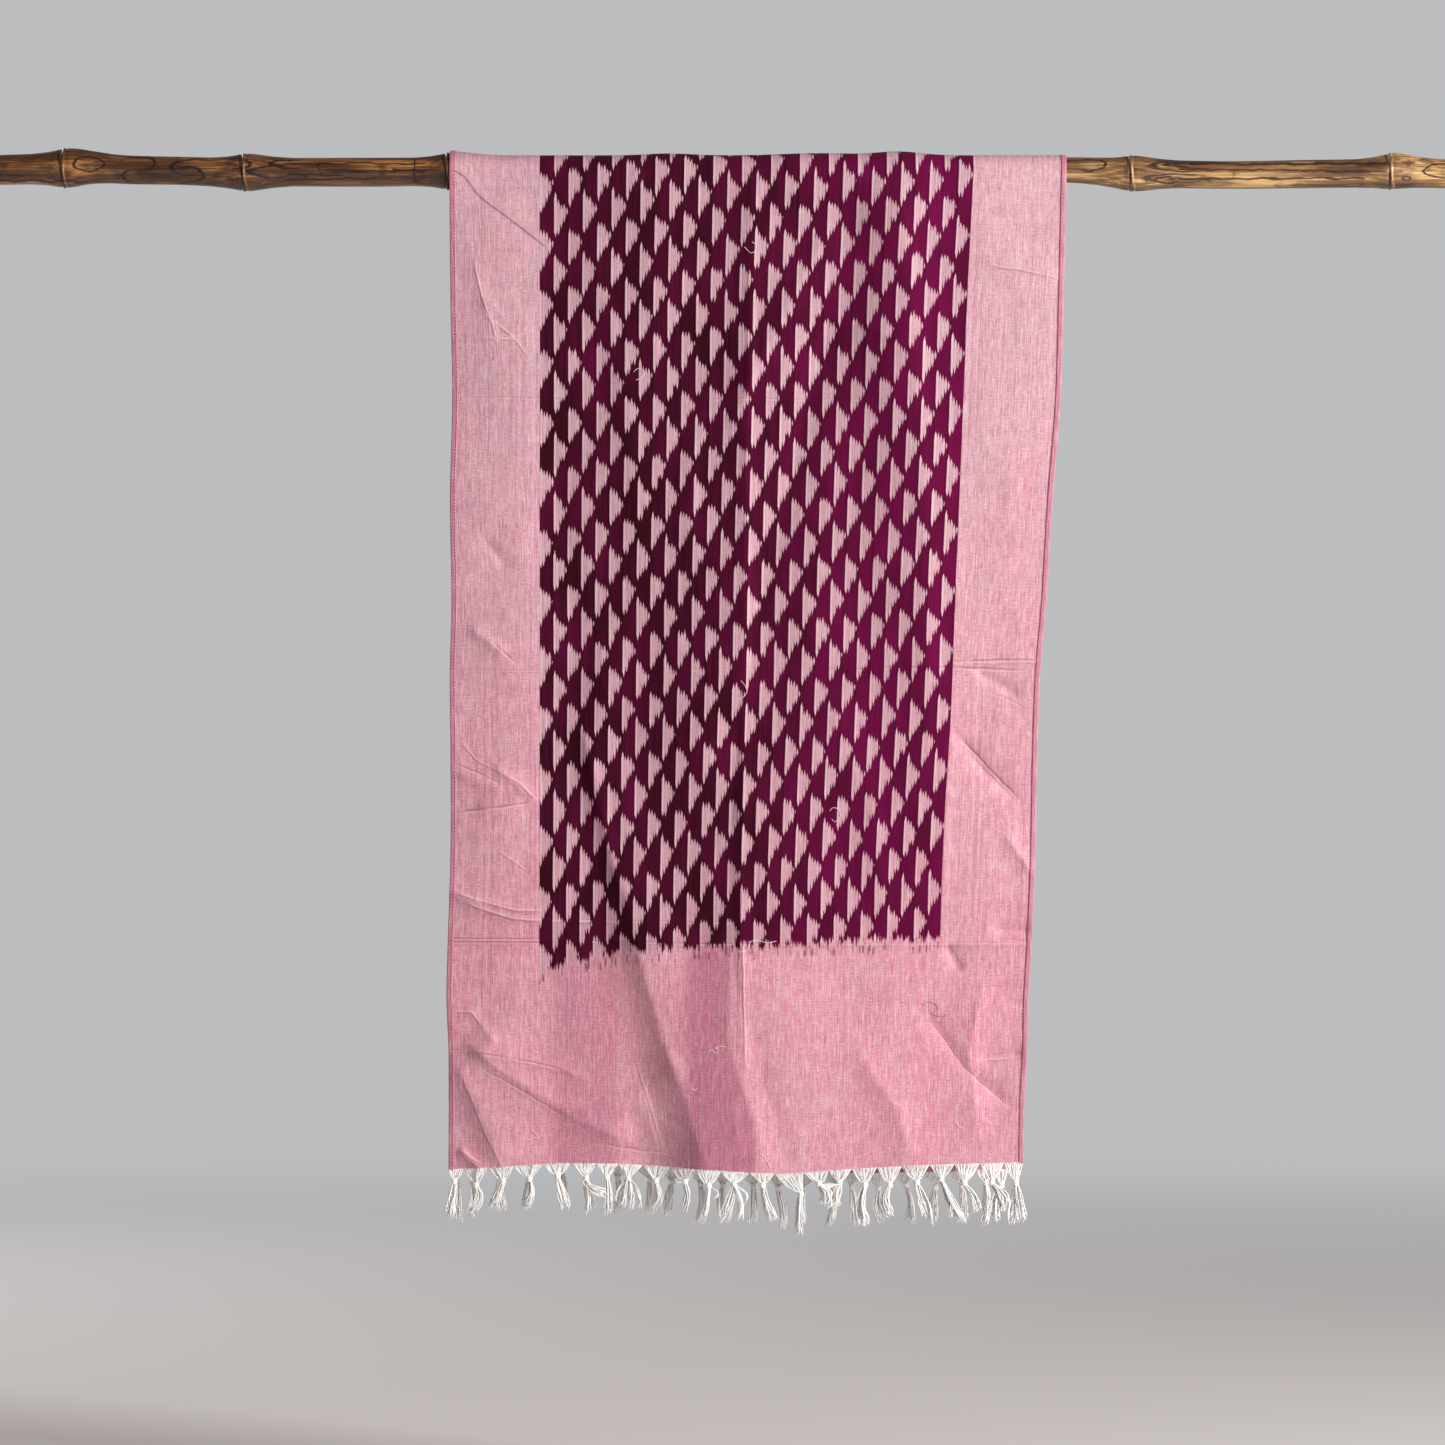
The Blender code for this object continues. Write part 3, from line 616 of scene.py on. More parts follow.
def crumple(x, drop, side):
    """Small unevenness of the hanging cloth."""
    height = np.zeros(x.size)
    for row in CRUMPLES:
        points = zip((x / row.across).ravel(), (drop / row.along).ravel())
        height += row.height * np.array([noise(Vector((a, b, side * CRUMPLE_LAYER))) for a, b in points])
    return height.reshape(x.shape)


def fall_depth(fall, x, drop):
    """How far a fall's cloth stands out from the pole's axis."""
    plain = ROD_RADIUS + ROD_CLEARANCE
    bumps = (drape_radius(x) - plain) * np.exp(-drop / DRAPE_FADE)
    folds = sum(wave_height(wave, x, drop) for wave in fall.waves)
    folds = folds + sum(crease_height(crease, x, drop) for crease in fall.creases)
    folds = folds + crumple(x, drop, fall.side)
    return plain + CLOTH_LIFT + bumps + folds * ease(drop / FOLD_START)


def fall_points(fall, across, drop_share):
    """Points of a fall, for arrays of shares across the cloth and down it."""
    hem_x = fall.edges[-1].left + (fall.edges[-1].right - fall.edges[-1].left) * across
    drop = drop_share * read(fall.hem, "x", "drop", hem_x)
    left, right = read(fall.edges, "drop", "left", drop), read(fall.edges, "drop", "right", drop)
    x = left + (right - left) * across
    return np.stack([x, fall.side * fall_depth(fall, x, drop), -drop], -1)


def flat_place(fall, points):
    """Where points of a fall lie in the flat cloth: off its left edge, and off the line over the pole."""
    x, drop = points[..., 0], -points[..., 2]
    marks = [
        read(fall.edges, "drop", "left", drop),
        read(fall.field, "drop", "left", drop),
        read(fall.field, "drop", "right", drop),
        read(fall.edges, "drop", "right", drop),
    ]
    flats = [0.0, FIELD_LEFT, FIELD_RIGHT, CLOTH_WIDTH]
    across = np.zeros(x.shape)
    for low, high, flat_low, flat_high in zip(marks, marks[1:], flats, flats[1:]):
        inside = np.clip((x - low) / (high - low), 0.0, 1.0)
        across = across + inside * (flat_high - flat_low)
    along = -fall.side * (drop + QUARTER_ARC)
    return np.stack([across, along], -1)


def saddle_points(across, turn):
    """Points of the cloth over the pole. turn is the angle from the top, positive towards the viewer."""
    x = FRONT_EDGES[0].left + (FRONT_EDGES[0].right - FRONT_EDGES[0].left) * across
    radius = drape_radius(x) + CLOTH_LIFT
    return np.stack([x, -radius * np.sin(turn), radius * np.cos(turn)], -1)


def crowded(count, places):
    """Shares from 0 to 1, closer together round some places."""
    fine = np.linspace(0.0, 1.0, FINE_SHARES)
    density = np.ones(fine.size)
    for place, reach in places:
        density += DENSE_GAIN * np.exp(-(((fine - place) / reach) ** 2))
    total = np.concatenate([[0.0], np.cumsum((density[1:] + density[:-1]) / 2)])
    return np.interp(np.linspace(0.0, total[-1], count + 1), total, fine)


def sheet_columns():
    """Shares across the cloth, closer together at the centre crease and in the two borders."""
    return crowded(SHEET_COLUMNS, [(place, reach / CLOTH_WIDTH) for place, reach in CROWDED_COLUMNS])


def fall_rows(fall, count):
    """Shares down a fall, closer together at the packing creases and in the creased lower end."""
    length = fall.hem[0].drop
    places = [(drop / length, DENSE_REACH / length) for drop in PACKING_DROPS]
    return crowded(count, [*places, (LOW_CENTRE, LOW_REACH)])


def smooth_mesh(name, points, faces):
    """A mesh of these points and faces that is shaded smooth."""
    mesh = bpy.data.meshes.new(name)
    mesh.from_pydata(points.reshape(-1, 3).tolist(), [], faces)
    mesh.shade_smooth()
    return mesh


def tube_faces(rings, sides, start=0):
    """The faces of a tube whose points lie ring by ring, and its two ends."""
    last = start + (rings - 1) * sides
    faces = []
    for low in range(start, last, sides):
        high = low + sides
        faces += [(low + k, low + (k + 1) % sides, high + (k + 1) % sides, high + k) for k in range(sides)]
    return [*faces, tuple(range(start + sides - 1, start - 1, -1)), tuple(range(last, last + sides))]


def mark_points(mesh, name, *columns):
    """Gives a mesh's points three numbers each that a material can read."""
    held = mesh.attributes.new(name, "FLOAT_VECTOR", "POINT")
    held.data.foreach_set("vector", np.stack(columns, -1).astype(np.float32).ravel())


def grid_mesh(name, fall, grid, flat):
    """A mesh on a grid of points, with its fine creases, its place in the flat cloth and an even map."""
    rows, columns = grid.shape[:2]
    corner = np.arange((rows - 1) * columns).reshape(rows - 1, columns)[:, :-1].ravel()
    faces = np.stack([corner, corner + columns, corner + columns + 1, corner + 1], 1)
    mesh = smooth_mesh(name, grid, faces.tolist())
    none = np.zeros(rows * columns)
    places = flat.reshape(-1, 2)
    mark_points(mesh, "cloth", places[:, 0], places[:, 1], none)
    away, tone = fine_marks(fall, grid[..., 0], -grid[..., 2])
    mark_points(mesh, "fine_crease", away.ravel(), tone.ravel(), none)
    low, high = places.min(0), places.max(0)
    shares = 0.002 + 0.996 * (places - low) / (high - low)
    layer = mesh.uv_layers.new(name="OFBake")
    layer.uv.foreach_set("vector", shares[faces.ravel()].astype(np.float32).ravel())
    return mesh


def new_piece(name, mesh, material):
    """Shows a mesh as a piece of the object, with its material."""
    mesh.materials.append(material)
    piece = bpy.data.objects.new(name, mesh)
    bpy.context.scene.collection.objects.link(piece)
    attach(piece, "root")
    return piece


def front_grid(across, rows):
    """The cloth from the level of the pole's axis behind, over the pole and down to the front hem."""
    down = fall_rows(FRONT_FALL, rows)[1:]
    a, d = np.meshgrid(across, down)
    fall = fall_points(FRONT_FALL, a, d)
    turns = np.linspace(-math.pi / 2, math.pi / 2, SADDLE_ROWS + 1)
    a, turn = np.meshgrid(across, turns)
    over = saddle_points(a, turn)
    over_flat = flat_place(FRONT_FALL, np.where([True, False, False], over, 0.0))
    over_flat[..., 1] = turn * QUARTER_ARC / (math.pi / 2)
    return np.concatenate([over, fall]), np.concatenate([over_flat, flat_place(FRONT_FALL, fall)])


def back_grid(across, rows):
    """The cloth behind, from the level of the pole's axis down."""
    a, d = np.meshgrid(across, fall_rows(BACK_FALL, rows))
    fall = fall_points(BACK_FALL, a, d)
    return fall[::-1], flat_place(BACK_FALL, fall)[::-1]


class Value:
    """A number or colour that a material's nodes work out. It adds and multiplies like a plain number."""

    def __init__(self, tree, socket):
        self.tree, self.socket = tree, socket

    def math(self, operation, *others, clamp=False):
        node = self.tree.nodes.new("ShaderNodeMath")
        node.operation = operation
        node.use_clamp = clamp
        for slot, value in zip(node.inputs, (self, *others)):
            feed(slot, value)
        return Value(self.tree, node.outputs[0])

    def __add__(self, other):
        return self.math("ADD", other)

    __radd__ = __add__

    def __mul__(self, other):
        return self.math("MULTIPLY", other)

    __rmul__ = __mul__

    def __sub__(self, other):
        return self.math("SUBTRACT", other)

    def __rsub__(self, other):
        return (self * -1.0) + other

    def __truediv__(self, other):
        return self.math("DIVIDE", other)

    def floor(self):
        return self.math("FLOOR")

    def part(self):
        return self.math("FRACT")

    def size(self):
        return self.math("ABSOLUTE")

    def least(self, other):
        return self.math("MINIMUM", other)

    def most(self, other):
        return self.math("MAXIMUM", other)

    def step(self, low, high):
        """0 below low, 1 above high, and smooth between them. With low above high it runs the other way."""
        node = self.tree.nodes.new("ShaderNodeMapRange")
        node.interpolation_type = "SMOOTHSTEP"
        feed(node.inputs["Value"], self)
        flip = low > high
        node.inputs["From Min"].default_value = min(low, high)
        node.inputs["From Max"].default_value = max(low, high)
        node.inputs["To Min"].default_value = 1.0 if flip else 0.0
        node.inputs["To Max"].default_value = 0.0 if flip else 1.0
        return Value(self.tree, node.outputs["Result"])


def feed(slot, value):
    """Gives a node's input a value, which may be another node's output."""
    if isinstance(value, Value):
        value.tree.links.new(value.socket, slot)
    else:
        slot.default_value = value


def new_material(name):
    """An empty node material with a Principled shader: the material, its tree and the shader."""
    made = bpy.data.materials.new(name)
    made.use_nodes = True
    return made, made.node_tree, made.node_tree.nodes["Principled BSDF"]


def set_shader(shader, colour, settings):
    """Links a colour to a shader and sets its other inputs."""
    feed(shader.inputs["Base Color"], colour)
    for name, value in settings.items():
        shader.inputs[name].default_value = value


def parts_of(tree, socket):
    """The three parts of a vector."""
    node = tree.nodes.new("ShaderNodeSeparateXYZ")
    tree.links.new(socket, node.inputs[0])
    return [Value(tree, out) for out in node.outputs]


def object_place(tree):
    """A point's x, y and z in the frame of the solids."""
    return parts_of(tree, tree.nodes.new("ShaderNodeTexCoord").outputs["Object"])


def point_marks(tree, name):
    """The three numbers that a mesh's points hold under a name."""
    node = tree.nodes.new("ShaderNodeAttribute")
    node.attribute_name = name
    return parts_of(tree, node.outputs["Vector"])


def texture(kind, x, y, z):
    """A texture node at a place. x is always another node's output."""
    place = x.tree.nodes.new("ShaderNodeCombineXYZ")
    for slot, value in zip(place.inputs, (x, y, z)):
        feed(slot, value)
    node = x.tree.nodes.new(kind)
    x.tree.links.new(place.outputs[0], node.inputs["Vector"])
    return node


def patches(x, y, z=0.0, detail=2.0):
    """Soft noise from 0 to 1, one patch to each whole number of its coordinates."""
    node = texture("ShaderNodeTexNoise", x, y, z)
    node.inputs["Scale"].default_value = 1.0
    node.inputs["Detail"].default_value = detail
    return Value(x.tree, node.outputs["Fac"])


def dice(x, y=0.0, z=0.0):
    """A number from 0 to 1 for each set of whole numbers."""
    return Value(x.tree, texture("ShaderNodeTexWhiteNoise", x, y, z).outputs["Value"])


# Where a mix node keeps its two colours and its mixed colour, after those for numbers and vectors
MIX_FIRST = 6
MIX_SECOND = 7
MIX_RESULT = 2


def blend(share, first, second, kind="MIX"):
    """A colour between two others, or with the kind MULTIPLY between the first and their product."""
    node = share.tree.nodes.new("ShaderNodeMix")
    node.data_type = "RGBA"
    node.blend_type = kind
    feed(node.inputs["Factor"], share)
    feed(node.inputs[MIX_FIRST], first)
    feed(node.inputs[MIX_SECOND], second)
    return Value(share.tree, node.outputs[MIX_RESULT])


def bump(shader, height, distance, strength):
    """Raises a shader's surface by a height."""
    node = height.tree.nodes.new("ShaderNodeBump")
    node.inputs["Strength"].default_value = strength
    node.inputs["Distance"].default_value = distance
    feed(node.inputs["Height"], height)
    height.tree.links.new(node.outputs["Normal"], shader.inputs["Normal"])


# Colours of the dyed and undyed yarn
GREY_PINK = linear(210, 164, 175)
ROSE_PINK = linear(221, 144, 162)
# the pale and deep streak colours also paint the highlight and the shade of the creases
PALE_STREAK_AND_HIGHLIGHT = linear(240, 204, 211)
DEEP_STREAK_AND_SHADE = linear(178, 96, 120)
STREAK_GREY = linear(176, 138, 152)
PAINTED_SHADE_PINK = linear(213, 195, 205)
FIGURE_PINK = linear(186, 147, 157)
# the next colour multiplies two bands of the front's end to a deeper pink as painted shade
FIGURE_PALE = linear(234, 202, 210)
PLUM_DEEP = linear(54, 8, 24)
PLUM_BRIGHT = linear(116, 12, 70)
PLUM_LINE = linear(24, 4, 12)

# The chambray's streaks, in the order they are laid: the patches to a metre across and along, their seed and
# detail, the noise at which a streak starts and is full, its strength and its colour
Streak = namedtuple("Streak", "across along seed detail start full strength colour")
STREAKS = (
    Streak(260.0, 7.0, 4.1, 2.0, 0.50, 0.72, 0.12, PALE_STREAK_AND_HIGHLIGHT),
    Streak(900.0, 70.0, 8.8, 1.0, 0.46, 0.68, 0.48, PALE_STREAK_AND_HIGHLIGHT),
    Streak(210.0, 900.0, 2.2, 1.0, 0.47, 0.69, 0.38, PALE_STREAK_AND_HIGHLIGHT),
    Streak(700.0, 60.0, 17.0, 2.0, 0.50, 0.72, 0.42, DEEP_STREAK_AND_SHADE),
    Streak(170.0, 780.0, 29.0, 1.0, 0.52, 0.78, 0.40, DEEP_STREAK_AND_SHADE),
    Streak(700.0, 44.0, 37.0, 1.0, 0.50, 0.72, 0.34, STREAK_GREY),
    Streak(110.0, 90.0, 53.0, 3.0, 0.50, 0.75, 0.15, DEEP_STREAK_AND_SHADE),
    Streak(110.0, 90.0, 53.0, 3.0, 0.48, 0.25, 0.13, PALE_STREAK_AND_HIGHLIGHT),
    Streak(430.0, 2.4, 97.0, 0.0, 0.66, 0.74, 0.24, DEEP_STREAK_AND_SHADE),
    Streak(430.0, 2.4, 97.0, 0.0, 0.34, 0.26, 0.22, PALE_STREAK_AND_HIGHLIGHT),
    Streak(520.0, 300.0, 43.0, 1.0, 0.74, 0.80, 0.50, DEEP_STREAK_AND_SHADE),
)


def chambray(u, w):
    """The plain pink cloth: rosier towards its ends, with streaks along the warp and fainter ones across."""
    ends = w.size().step(0.15, 0.80)
    cloud = patches(u * 18.0, w * 12.0, 1.3, 3.0)
    rosy = (ends * 0.75 + (cloud - 0.5) * 1.3).math("ADD", 0.10, clamp=True)
    colour = blend(rosy, GREY_PINK, ROSE_PINK)
    for row in STREAKS:
        streak = patches(u * row.across, w * row.along, row.seed, row.detail).step(row.start, row.full)
        colour = blend(streak * row.strength, colour, row.colour)
    return colour


# Lines pressed into the cloth in its packet, drawn as a line of painted shade with a line of painted
# highlight
# beside it: the strength, and where each starts and ends in the flat cloth
Pressed = namedtuple("Pressed", "strength left_u left_w right_u right_w")
PRESSED = table(
    Pressed, 1,
    (0.32, 0, 227.5, 560, 229.5),
    (0.30, 0, 473.5, 400, 472.2),
    (0.90, 380, 472.2, 478, 470.5),
    (1.00, 465, 466.0, 562, 464.0),
    (1.00, -10, 716.5, 110, 717.2),
    (0.50, -10, 720.0, 110, 720.4),
    (0.80, 100, 718.0, 300, 721.5),
    (0.35, 290, 721.5, 562, 720.0),
    (0.55, 100, 699.0, 300, 702.0),
    (0.60, 0, -229.0, 560, -228.0),
    (0.80, 0, -470.0, 560, -473.5),
    (0.80, 0, -719.0, 560, -720.5),
)
PRESSED_WANDER = 0.0030
PRESSED_HALF = 0.0011
PRESSED_GAP = 0.0017


def pressed_shade_and_highlight(u, w):
    """The pressed lines: how deep their painted shade is at a point, and how bright their painted highlight.
    """
    wander = (patches(u * 16.0, w * 3.0, 83.0, 1.0) - 0.5) * PRESSED_WANDER
    uneven = patches(u * 40.0, w * 3.0, 87.0, 2.0).step(0.30, 0.60)
    dark, pale = [], []
    for row in PRESSED:
        share = (u - row.left_u) / (row.right_u - row.left_u)
        away = w - share * (row.right_w - row.left_w) - row.left_w - wander
        here = share.step(-0.02, 0.08) * share.step(1.02, 0.92) * row.strength
        dark.append(away.size().step(PRESSED_HALF, PRESSED_HALF * 0.1) * here)
        pale.append((away - PRESSED_GAP).size().step(PRESSED_HALF, PRESSED_HALF * 0.1) * here)
    depth, light = dark[0], pale[0]
    for one, other in zip(dark[1:], pale[1:]):
        depth, light = depth.most(one), light.most(other)
    return depth * (uneven * 0.6 + 0.4), light * (uneven * 0.6 + 0.4)


FINE_HALF = 0.0008
FINE_GAP = 0.0021
FINE_WANDER = 0.0020


def fine_crease_highlight_and_shade(tree, u, w):
    """The fine creases as lines of painted highlight and painted shade: how pale and how dark they make a
    point.

    Each has a fainter line of the other kind beside it.
    """
    away, tone, _ = point_marks(tree, "fine_crease")
    away = away + (patches(u * 70.0, w * 70.0, 93.0, 1.0) - 0.5) * FINE_WANDER
    uneven = patches(u * 45.0, w * 45.0, 99.0, 1.0).step(0.28, 0.58) * 0.6 + 0.4
    on_line = away.size().step(FINE_HALF * 1.6, FINE_HALF * 0.3) * uneven
    beside = (away + FINE_GAP).size().step(FINE_HALF * 2.0, FINE_HALF * 0.3) * uneven * 0.7
    up, down = tone.most(0.0), (tone * -1.0).most(0.0)
    return on_line * up + beside * down, on_line * down + beside * up


# An ikat figure, in shares of its column's width and of one repeat down: its straight side is on the left
BUNDLES = 5
BUNDLE_SEED = 13.0
THREADS_PER_METRE = 1900.0
FIGURE_TOP = 0.190
FIGURE_LOW = 0.806
TOP_BEND = 0.225
LOW_BEND = 0.235
LOW_STEP = 0.085
LAST_STEP = 0.055
SPIKE = 0.080
TAIL = 0.050
TOOTH = 0.095

# How far a column, a figure, its bundles of threads and its threads stray
FIELD_WANDER = 0.0016
COLUMN_JOG = 0.0030
FIGURE_JOG = 0.045
UPPER_JOG = 0.080
LOWER_JOG = 0.090
THREAD_JOG = 0.030


def figure_mask(u, w):
    """The ikat's light figures: 1 in a figure, 0 in the dark ground. Also its place, for the colours."""
    pitch = (FIELD_RIGHT - FIELD_LEFT) / FIELD_COLUMNS
    wander = (patches(w * 9.0, 3.3, 0.0, 1.0) - 0.5) * FIELD_WANDER
    place = (u + wander - FIELD_LEFT) / pitch
    column, share = place.floor(), place.part()
    odd = column.math("MODULO", 2.0)
    drift = column.least(EARLY_COLUMNS) * EARLY_DRIFT + (column - EARLY_COLUMNS).most(0.0) * LATE_DRIFT
    uneven = (dice(column, 5.0) - 0.5) * COLUMN_JOG
    first = FIRST_FIGURE - REPEAT / 2 + uneven
    rows = (w - first + drift) / REPEAT - odd * 0.5
    row, phase = rows.floor(), rows.part()
    bundle = (share * BUNDLES).floor()
    across = (bundle + 0.5) / BUNDLES
    thread = (u * THREADS_PER_METRE).floor()
    whole = (dice(column, row, 4.0) - 0.5) * FIGURE_JOG
    upper_jog = (dice(column * BUNDLE_SEED + bundle, row, 1.0) - 0.5) * UPPER_JOG
    lower_jog = (dice(column * BUNDLE_SEED + bundle, row, 2.0) - 0.5) * LOWER_JOG
    fray = (dice(thread, row, 3.0) - 0.5) * THREAD_JOG
    tooth = ((share * BUNDLES).part() - 0.5).size() * 2.0 * TOOTH
    left_end = across.step(0.22, 0.10)
    bent = across * across
    upper = tooth + bent * TOP_BEND + whole + upper_jog + fray + FIGURE_TOP - left_end * odd * SPIKE
    stepped = across.step(0.30, 0.48) * LOW_STEP + across.step(0.80, 0.95) * LAST_STEP
    lower = bent * -LOW_BEND - stepped + whole + lower_jog + fray + FIGURE_LOW - tooth + left_end * TAIL
    inside = (phase - upper).step(-0.014, 0.014) * (lower - phase).step(-0.020, 0.020)
    cell = (rows + 0.5).floor()
    return inside, column, cell, share


# The frayed end of the dyed field
END_POWER = 2.5
END_JOG = 0.0075
END_FRAY = 0.0045
END_TOOTH = -0.004
END_SOFT = 0.0014
SIDE_SOFT = 0.0002
BUNDLES_PER_METRE = 612.0
DASH_REACH = 0.0046
DASH_NEAREST = 0.0036
DASH_SPREAD = 0.0056


def field_mask(u, w):
    """1 in the dyed field. Its two ends run aslant and fray into dashes along the warp."""
    left_side = u.step(FIELD_LEFT - SIDE_SOFT, FIELD_LEFT + SIDE_SOFT)
    sides = left_side * u.step(FIELD_RIGHT + SIDE_SOFT, FIELD_RIGHT - SIDE_SOFT)
    share = (u - FIELD_LEFT) / (FIELD_RIGHT - FIELD_LEFT)
    turned = ((1.0 - share / FIELD_END_BEND).most(0.0)).math("POWER", END_POWER) * FIELD_END_TURN
    front_end = (share - FIELD_END_BEND) * FIELD_END_SLOPE + turned + FIELD_END
    bundle = (u * BUNDLES_PER_METRE).floor()
    tooth = ((u * BUNDLES_PER_METRE).part() - 0.5).size() * END_TOOTH
    jog = (dice(bundle, 3.0) - 0.5) * END_JOG + tooth
    fine_jog = (dice((u * THREADS_PER_METRE).floor(), 9.0) - 0.5) * END_FRAY
    front = (front_end + jog + fine_jog - w).step(-END_SOFT, END_SOFT)
    back = (w + BACK_END + jog + fine_jog).step(-END_SOFT, END_SOFT)
    dash = dice(bundle, 7.0).step(0.62, 0.95)
    dash_place = dice(bundle, 8.0) * DASH_SPREAD + DASH_NEAREST
    dashes = dash * (w - front_end - dash_place).size().step(DASH_REACH, DASH_REACH * 0.45)
    return sides * (front * back), sides * dashes


# Painted shade: bands of deeper pink in the front's end, where its folds lean away from the light, in the
# flat
# cloth: left of the broad fold, and left of the middle crease, whose right side moves over towards the hem
FOLD_BAND = ((0.080, 0.112), (0.170, 0.148))
MIDDLE_BAND = ((0.210, 0.236), (0.272, 0.264))
MIDDLE_SHIFT = 0.026


def painted_shade_bands(u, w):
    """Where painted shade makes the front's end a deeper pink."""
    fold = u.step(*FOLD_BAND[0]) * u.step(*FOLD_BAND[1])
    middle = u.step(*MIDDLE_BAND[0]) * (u - w.step(0.80, 0.90) * MIDDLE_SHIFT).step(*MIDDLE_BAND[1])
    return (fold * 0.62 + middle * 0.92) * w.step(0.66, 0.76)


def cloth_material():
    """Plain-woven cotton: pink chambray round a field of light figures on plum."""
    made, tree, shader = new_material("ikat_cotton")
    u, w, _ = point_marks(tree, "cloth")
    plain = chambray(u, w)
    inside, column, cell, share = figure_mask(u, w)
    field, dashes = field_mask(u, w)

    streak = patches(u * 760.0, w * 14.0, 41.0, 1.0)
    right = u.step(0.22, 0.44)
    figure = blend(0.62 - right * w.step(0.30, 0.75) * 0.30, plain, FIGURE_PINK)
    figure = blend(streak.step(0.48, 0.70) * 0.42, figure, FIGURE_PALE)
    pale_line = share.step(0.17, 0.10) * share.step(0.02, 0.06)
    figure = blend(pale_line * 0.50, figure, FIGURE_PALE)

    deep = dice(column, cell, 6.0)
    cloud = patches(u * 26.0, w * 14.0, 51.0, 2.0)
    # The plum is brighter towards the right: partly painted light and sheen from the right side, partly
    # uneven dye.
    plum_lit_side_and_dye = right * 0.50 + (deep - 0.5) * 0.16 + (cloud - 0.5) * 0.9 + (streak - 0.5) * 0.7
    plum = blend(plum_lit_side_and_dye.math("ADD", 0.16, clamp=True), PLUM_DEEP, PLUM_BRIGHT)
    plum = blend(share.step(0.84, 0.95) * 0.35, plum, PLUM_LINE)

    colour = blend(field, plain, blend(inside, plum, figure))
    colour = blend((1.0 - field) * dashes * (1.0 - inside * 0.8) * 0.66, colour, plum)
    # depth is painted shade and light is painted highlight, along the pressed lines and the fine creases
    depth, light = pressed_shade_and_highlight(u, w)
    crease_highlight, crease_shade = fine_crease_highlight_and_shade(tree, u, w)
    undyed = 1.0 - field * (1.0 - inside)
    depth, light = depth.most(crease_shade) * undyed, light.most(crease_highlight) * undyed
    # painted shade: two bands of the front's end are multiplied to a deeper pink
    colour = blend(painted_shade_bands(u, w) * undyed, colour, PAINTED_SHADE_PINK, "MULTIPLY")
    # painted shade and painted highlight of the creases, outside the dyed ground
    colour = blend(depth * 0.62, colour, DEEP_STREAK_AND_SHADE)
    colour = blend(light * 0.62, colour, PALE_STREAK_AND_HIGHLIGHT)

    warp = ((u * 2600.0 * math.pi).math("SINE") + 1.0) * 0.5
    weft = ((w * 2100.0 * math.pi).math("SINE") + 1.0) * 0.5
    yarn = patches(u * 900.0, w * 30.0, 61.0, 1.0) + patches(u * 30.0, w * 800.0, 71.0, 1.0)
    bump(shader, warp * weft * 0.6 + yarn + light * 1.1 - depth * 1.1, 0.00042, 0.9)
    set_shader(shader, colour, {
        "Roughness": 0.90, "Specular IOR Level": 0.06, "Sheen Weight": 0.02, "Sheen Roughness": 0.45,
    })
    return made


def yarn_material():
    """Soft off-white cotton yarn."""
    made, tree, shader = new_material("white_cotton_yarn")
    x, y, z = object_place(tree)
    cloud = patches(x * 900.0, z * 260.0, y * 900.0, 2.0)
    colour = blend(cloud.step(0.35, 0.70), linear(248, 247, 243), linear(255, 255, 253))
    twist = ((z * 5200.0 + x * 2600.0).math("SINE") + 1.0) * 0.5
    bump(shader, twist, 0.00012, 0.6)
    set_shader(shader, colour, {
        "Roughness": 0.90, "Specular IOR Level": 0.20, "Sheen Weight": 0.45, "Sheen Roughness": 0.60,
    })
    return made


def hem_material():
    """The turned hem: the same pink cotton, a little deeper where it is double."""
    made, tree, shader = new_material("hem_cotton")
    x, _, z = object_place(tree)
    along = patches(x * 900.0, z * 60.0, 3.0, 2.0)
    across = patches(x * 60.0, z * 900.0, 7.0, 1.0)
    colour = blend(along.step(0.4, 0.7), linear(184, 120, 138), linear(206, 148, 163))
    colour = blend(across.step(0.55, 0.75) * 0.4, colour, DEEP_STREAK_AND_SHADE)
    bump(shader, along + across, 0.0003, 0.8)
    set_shader(shader, colour, {"Roughness": 0.86, "Specular IOR Level": 0.2, "Sheen Weight": 0.12})
    return made


def thread_material(name, first, second, across, down, roughness):
    """Thread of two colours in patches, so many to a metre."""
    made, tree, shader = new_material(name)
    x, y, z = object_place(tree)
    cloud = patches(x * across, z * down, y * across, 1.0)
    set_shader(shader, blend(cloud, first, second), {"Roughness": roughness})
    return made


# Dark marks burnt into the bamboo, seen from the front: straight strokes, soft smudges and oval loops
Stroke = namedtuple("Stroke", "x rise end_x end_rise half")
STROKES = table(
    Stroke, 0,
    (-700, -4.0, -664, -5.0, 0.8),
    (-690, -9.5, -610, -10.2, 0.8),
    (-480, 6.0, -466, 1.0, 0.6),
    (-428, 6.2, -372, 5.2, 0.5),
    (-372, 6.6, -302, 5.2, 0.6),
    (-426, -4.0, -376, -5.2, 0.5),
    (-396, 0.0, -302, -2.0, 0.5),
    (-428, -8.8, -296, -6.6, 0.6),
    (-397, 4.0, -397, -4.4, 1.0),
    (-311, 9.0, -311, -10.0, 0.8),
    (-331, 0.2, -301, -0.6, 0.9),
    (390, 6.0, 560, 5.2, 1.0),
    (380, 0.5, 545, -1.0, 0.8),
    (372, -8.0, 548, -7.6, 0.9),
    (350, -10.0, 372, -6.0, 0.7),
    (505, 6.2, 566, 5.4, 1.2),
    (512, -2.0, 552, -2.4, 1.0),
)
Smudge = namedtuple("Smudge", "depth x rise half_length half_height")
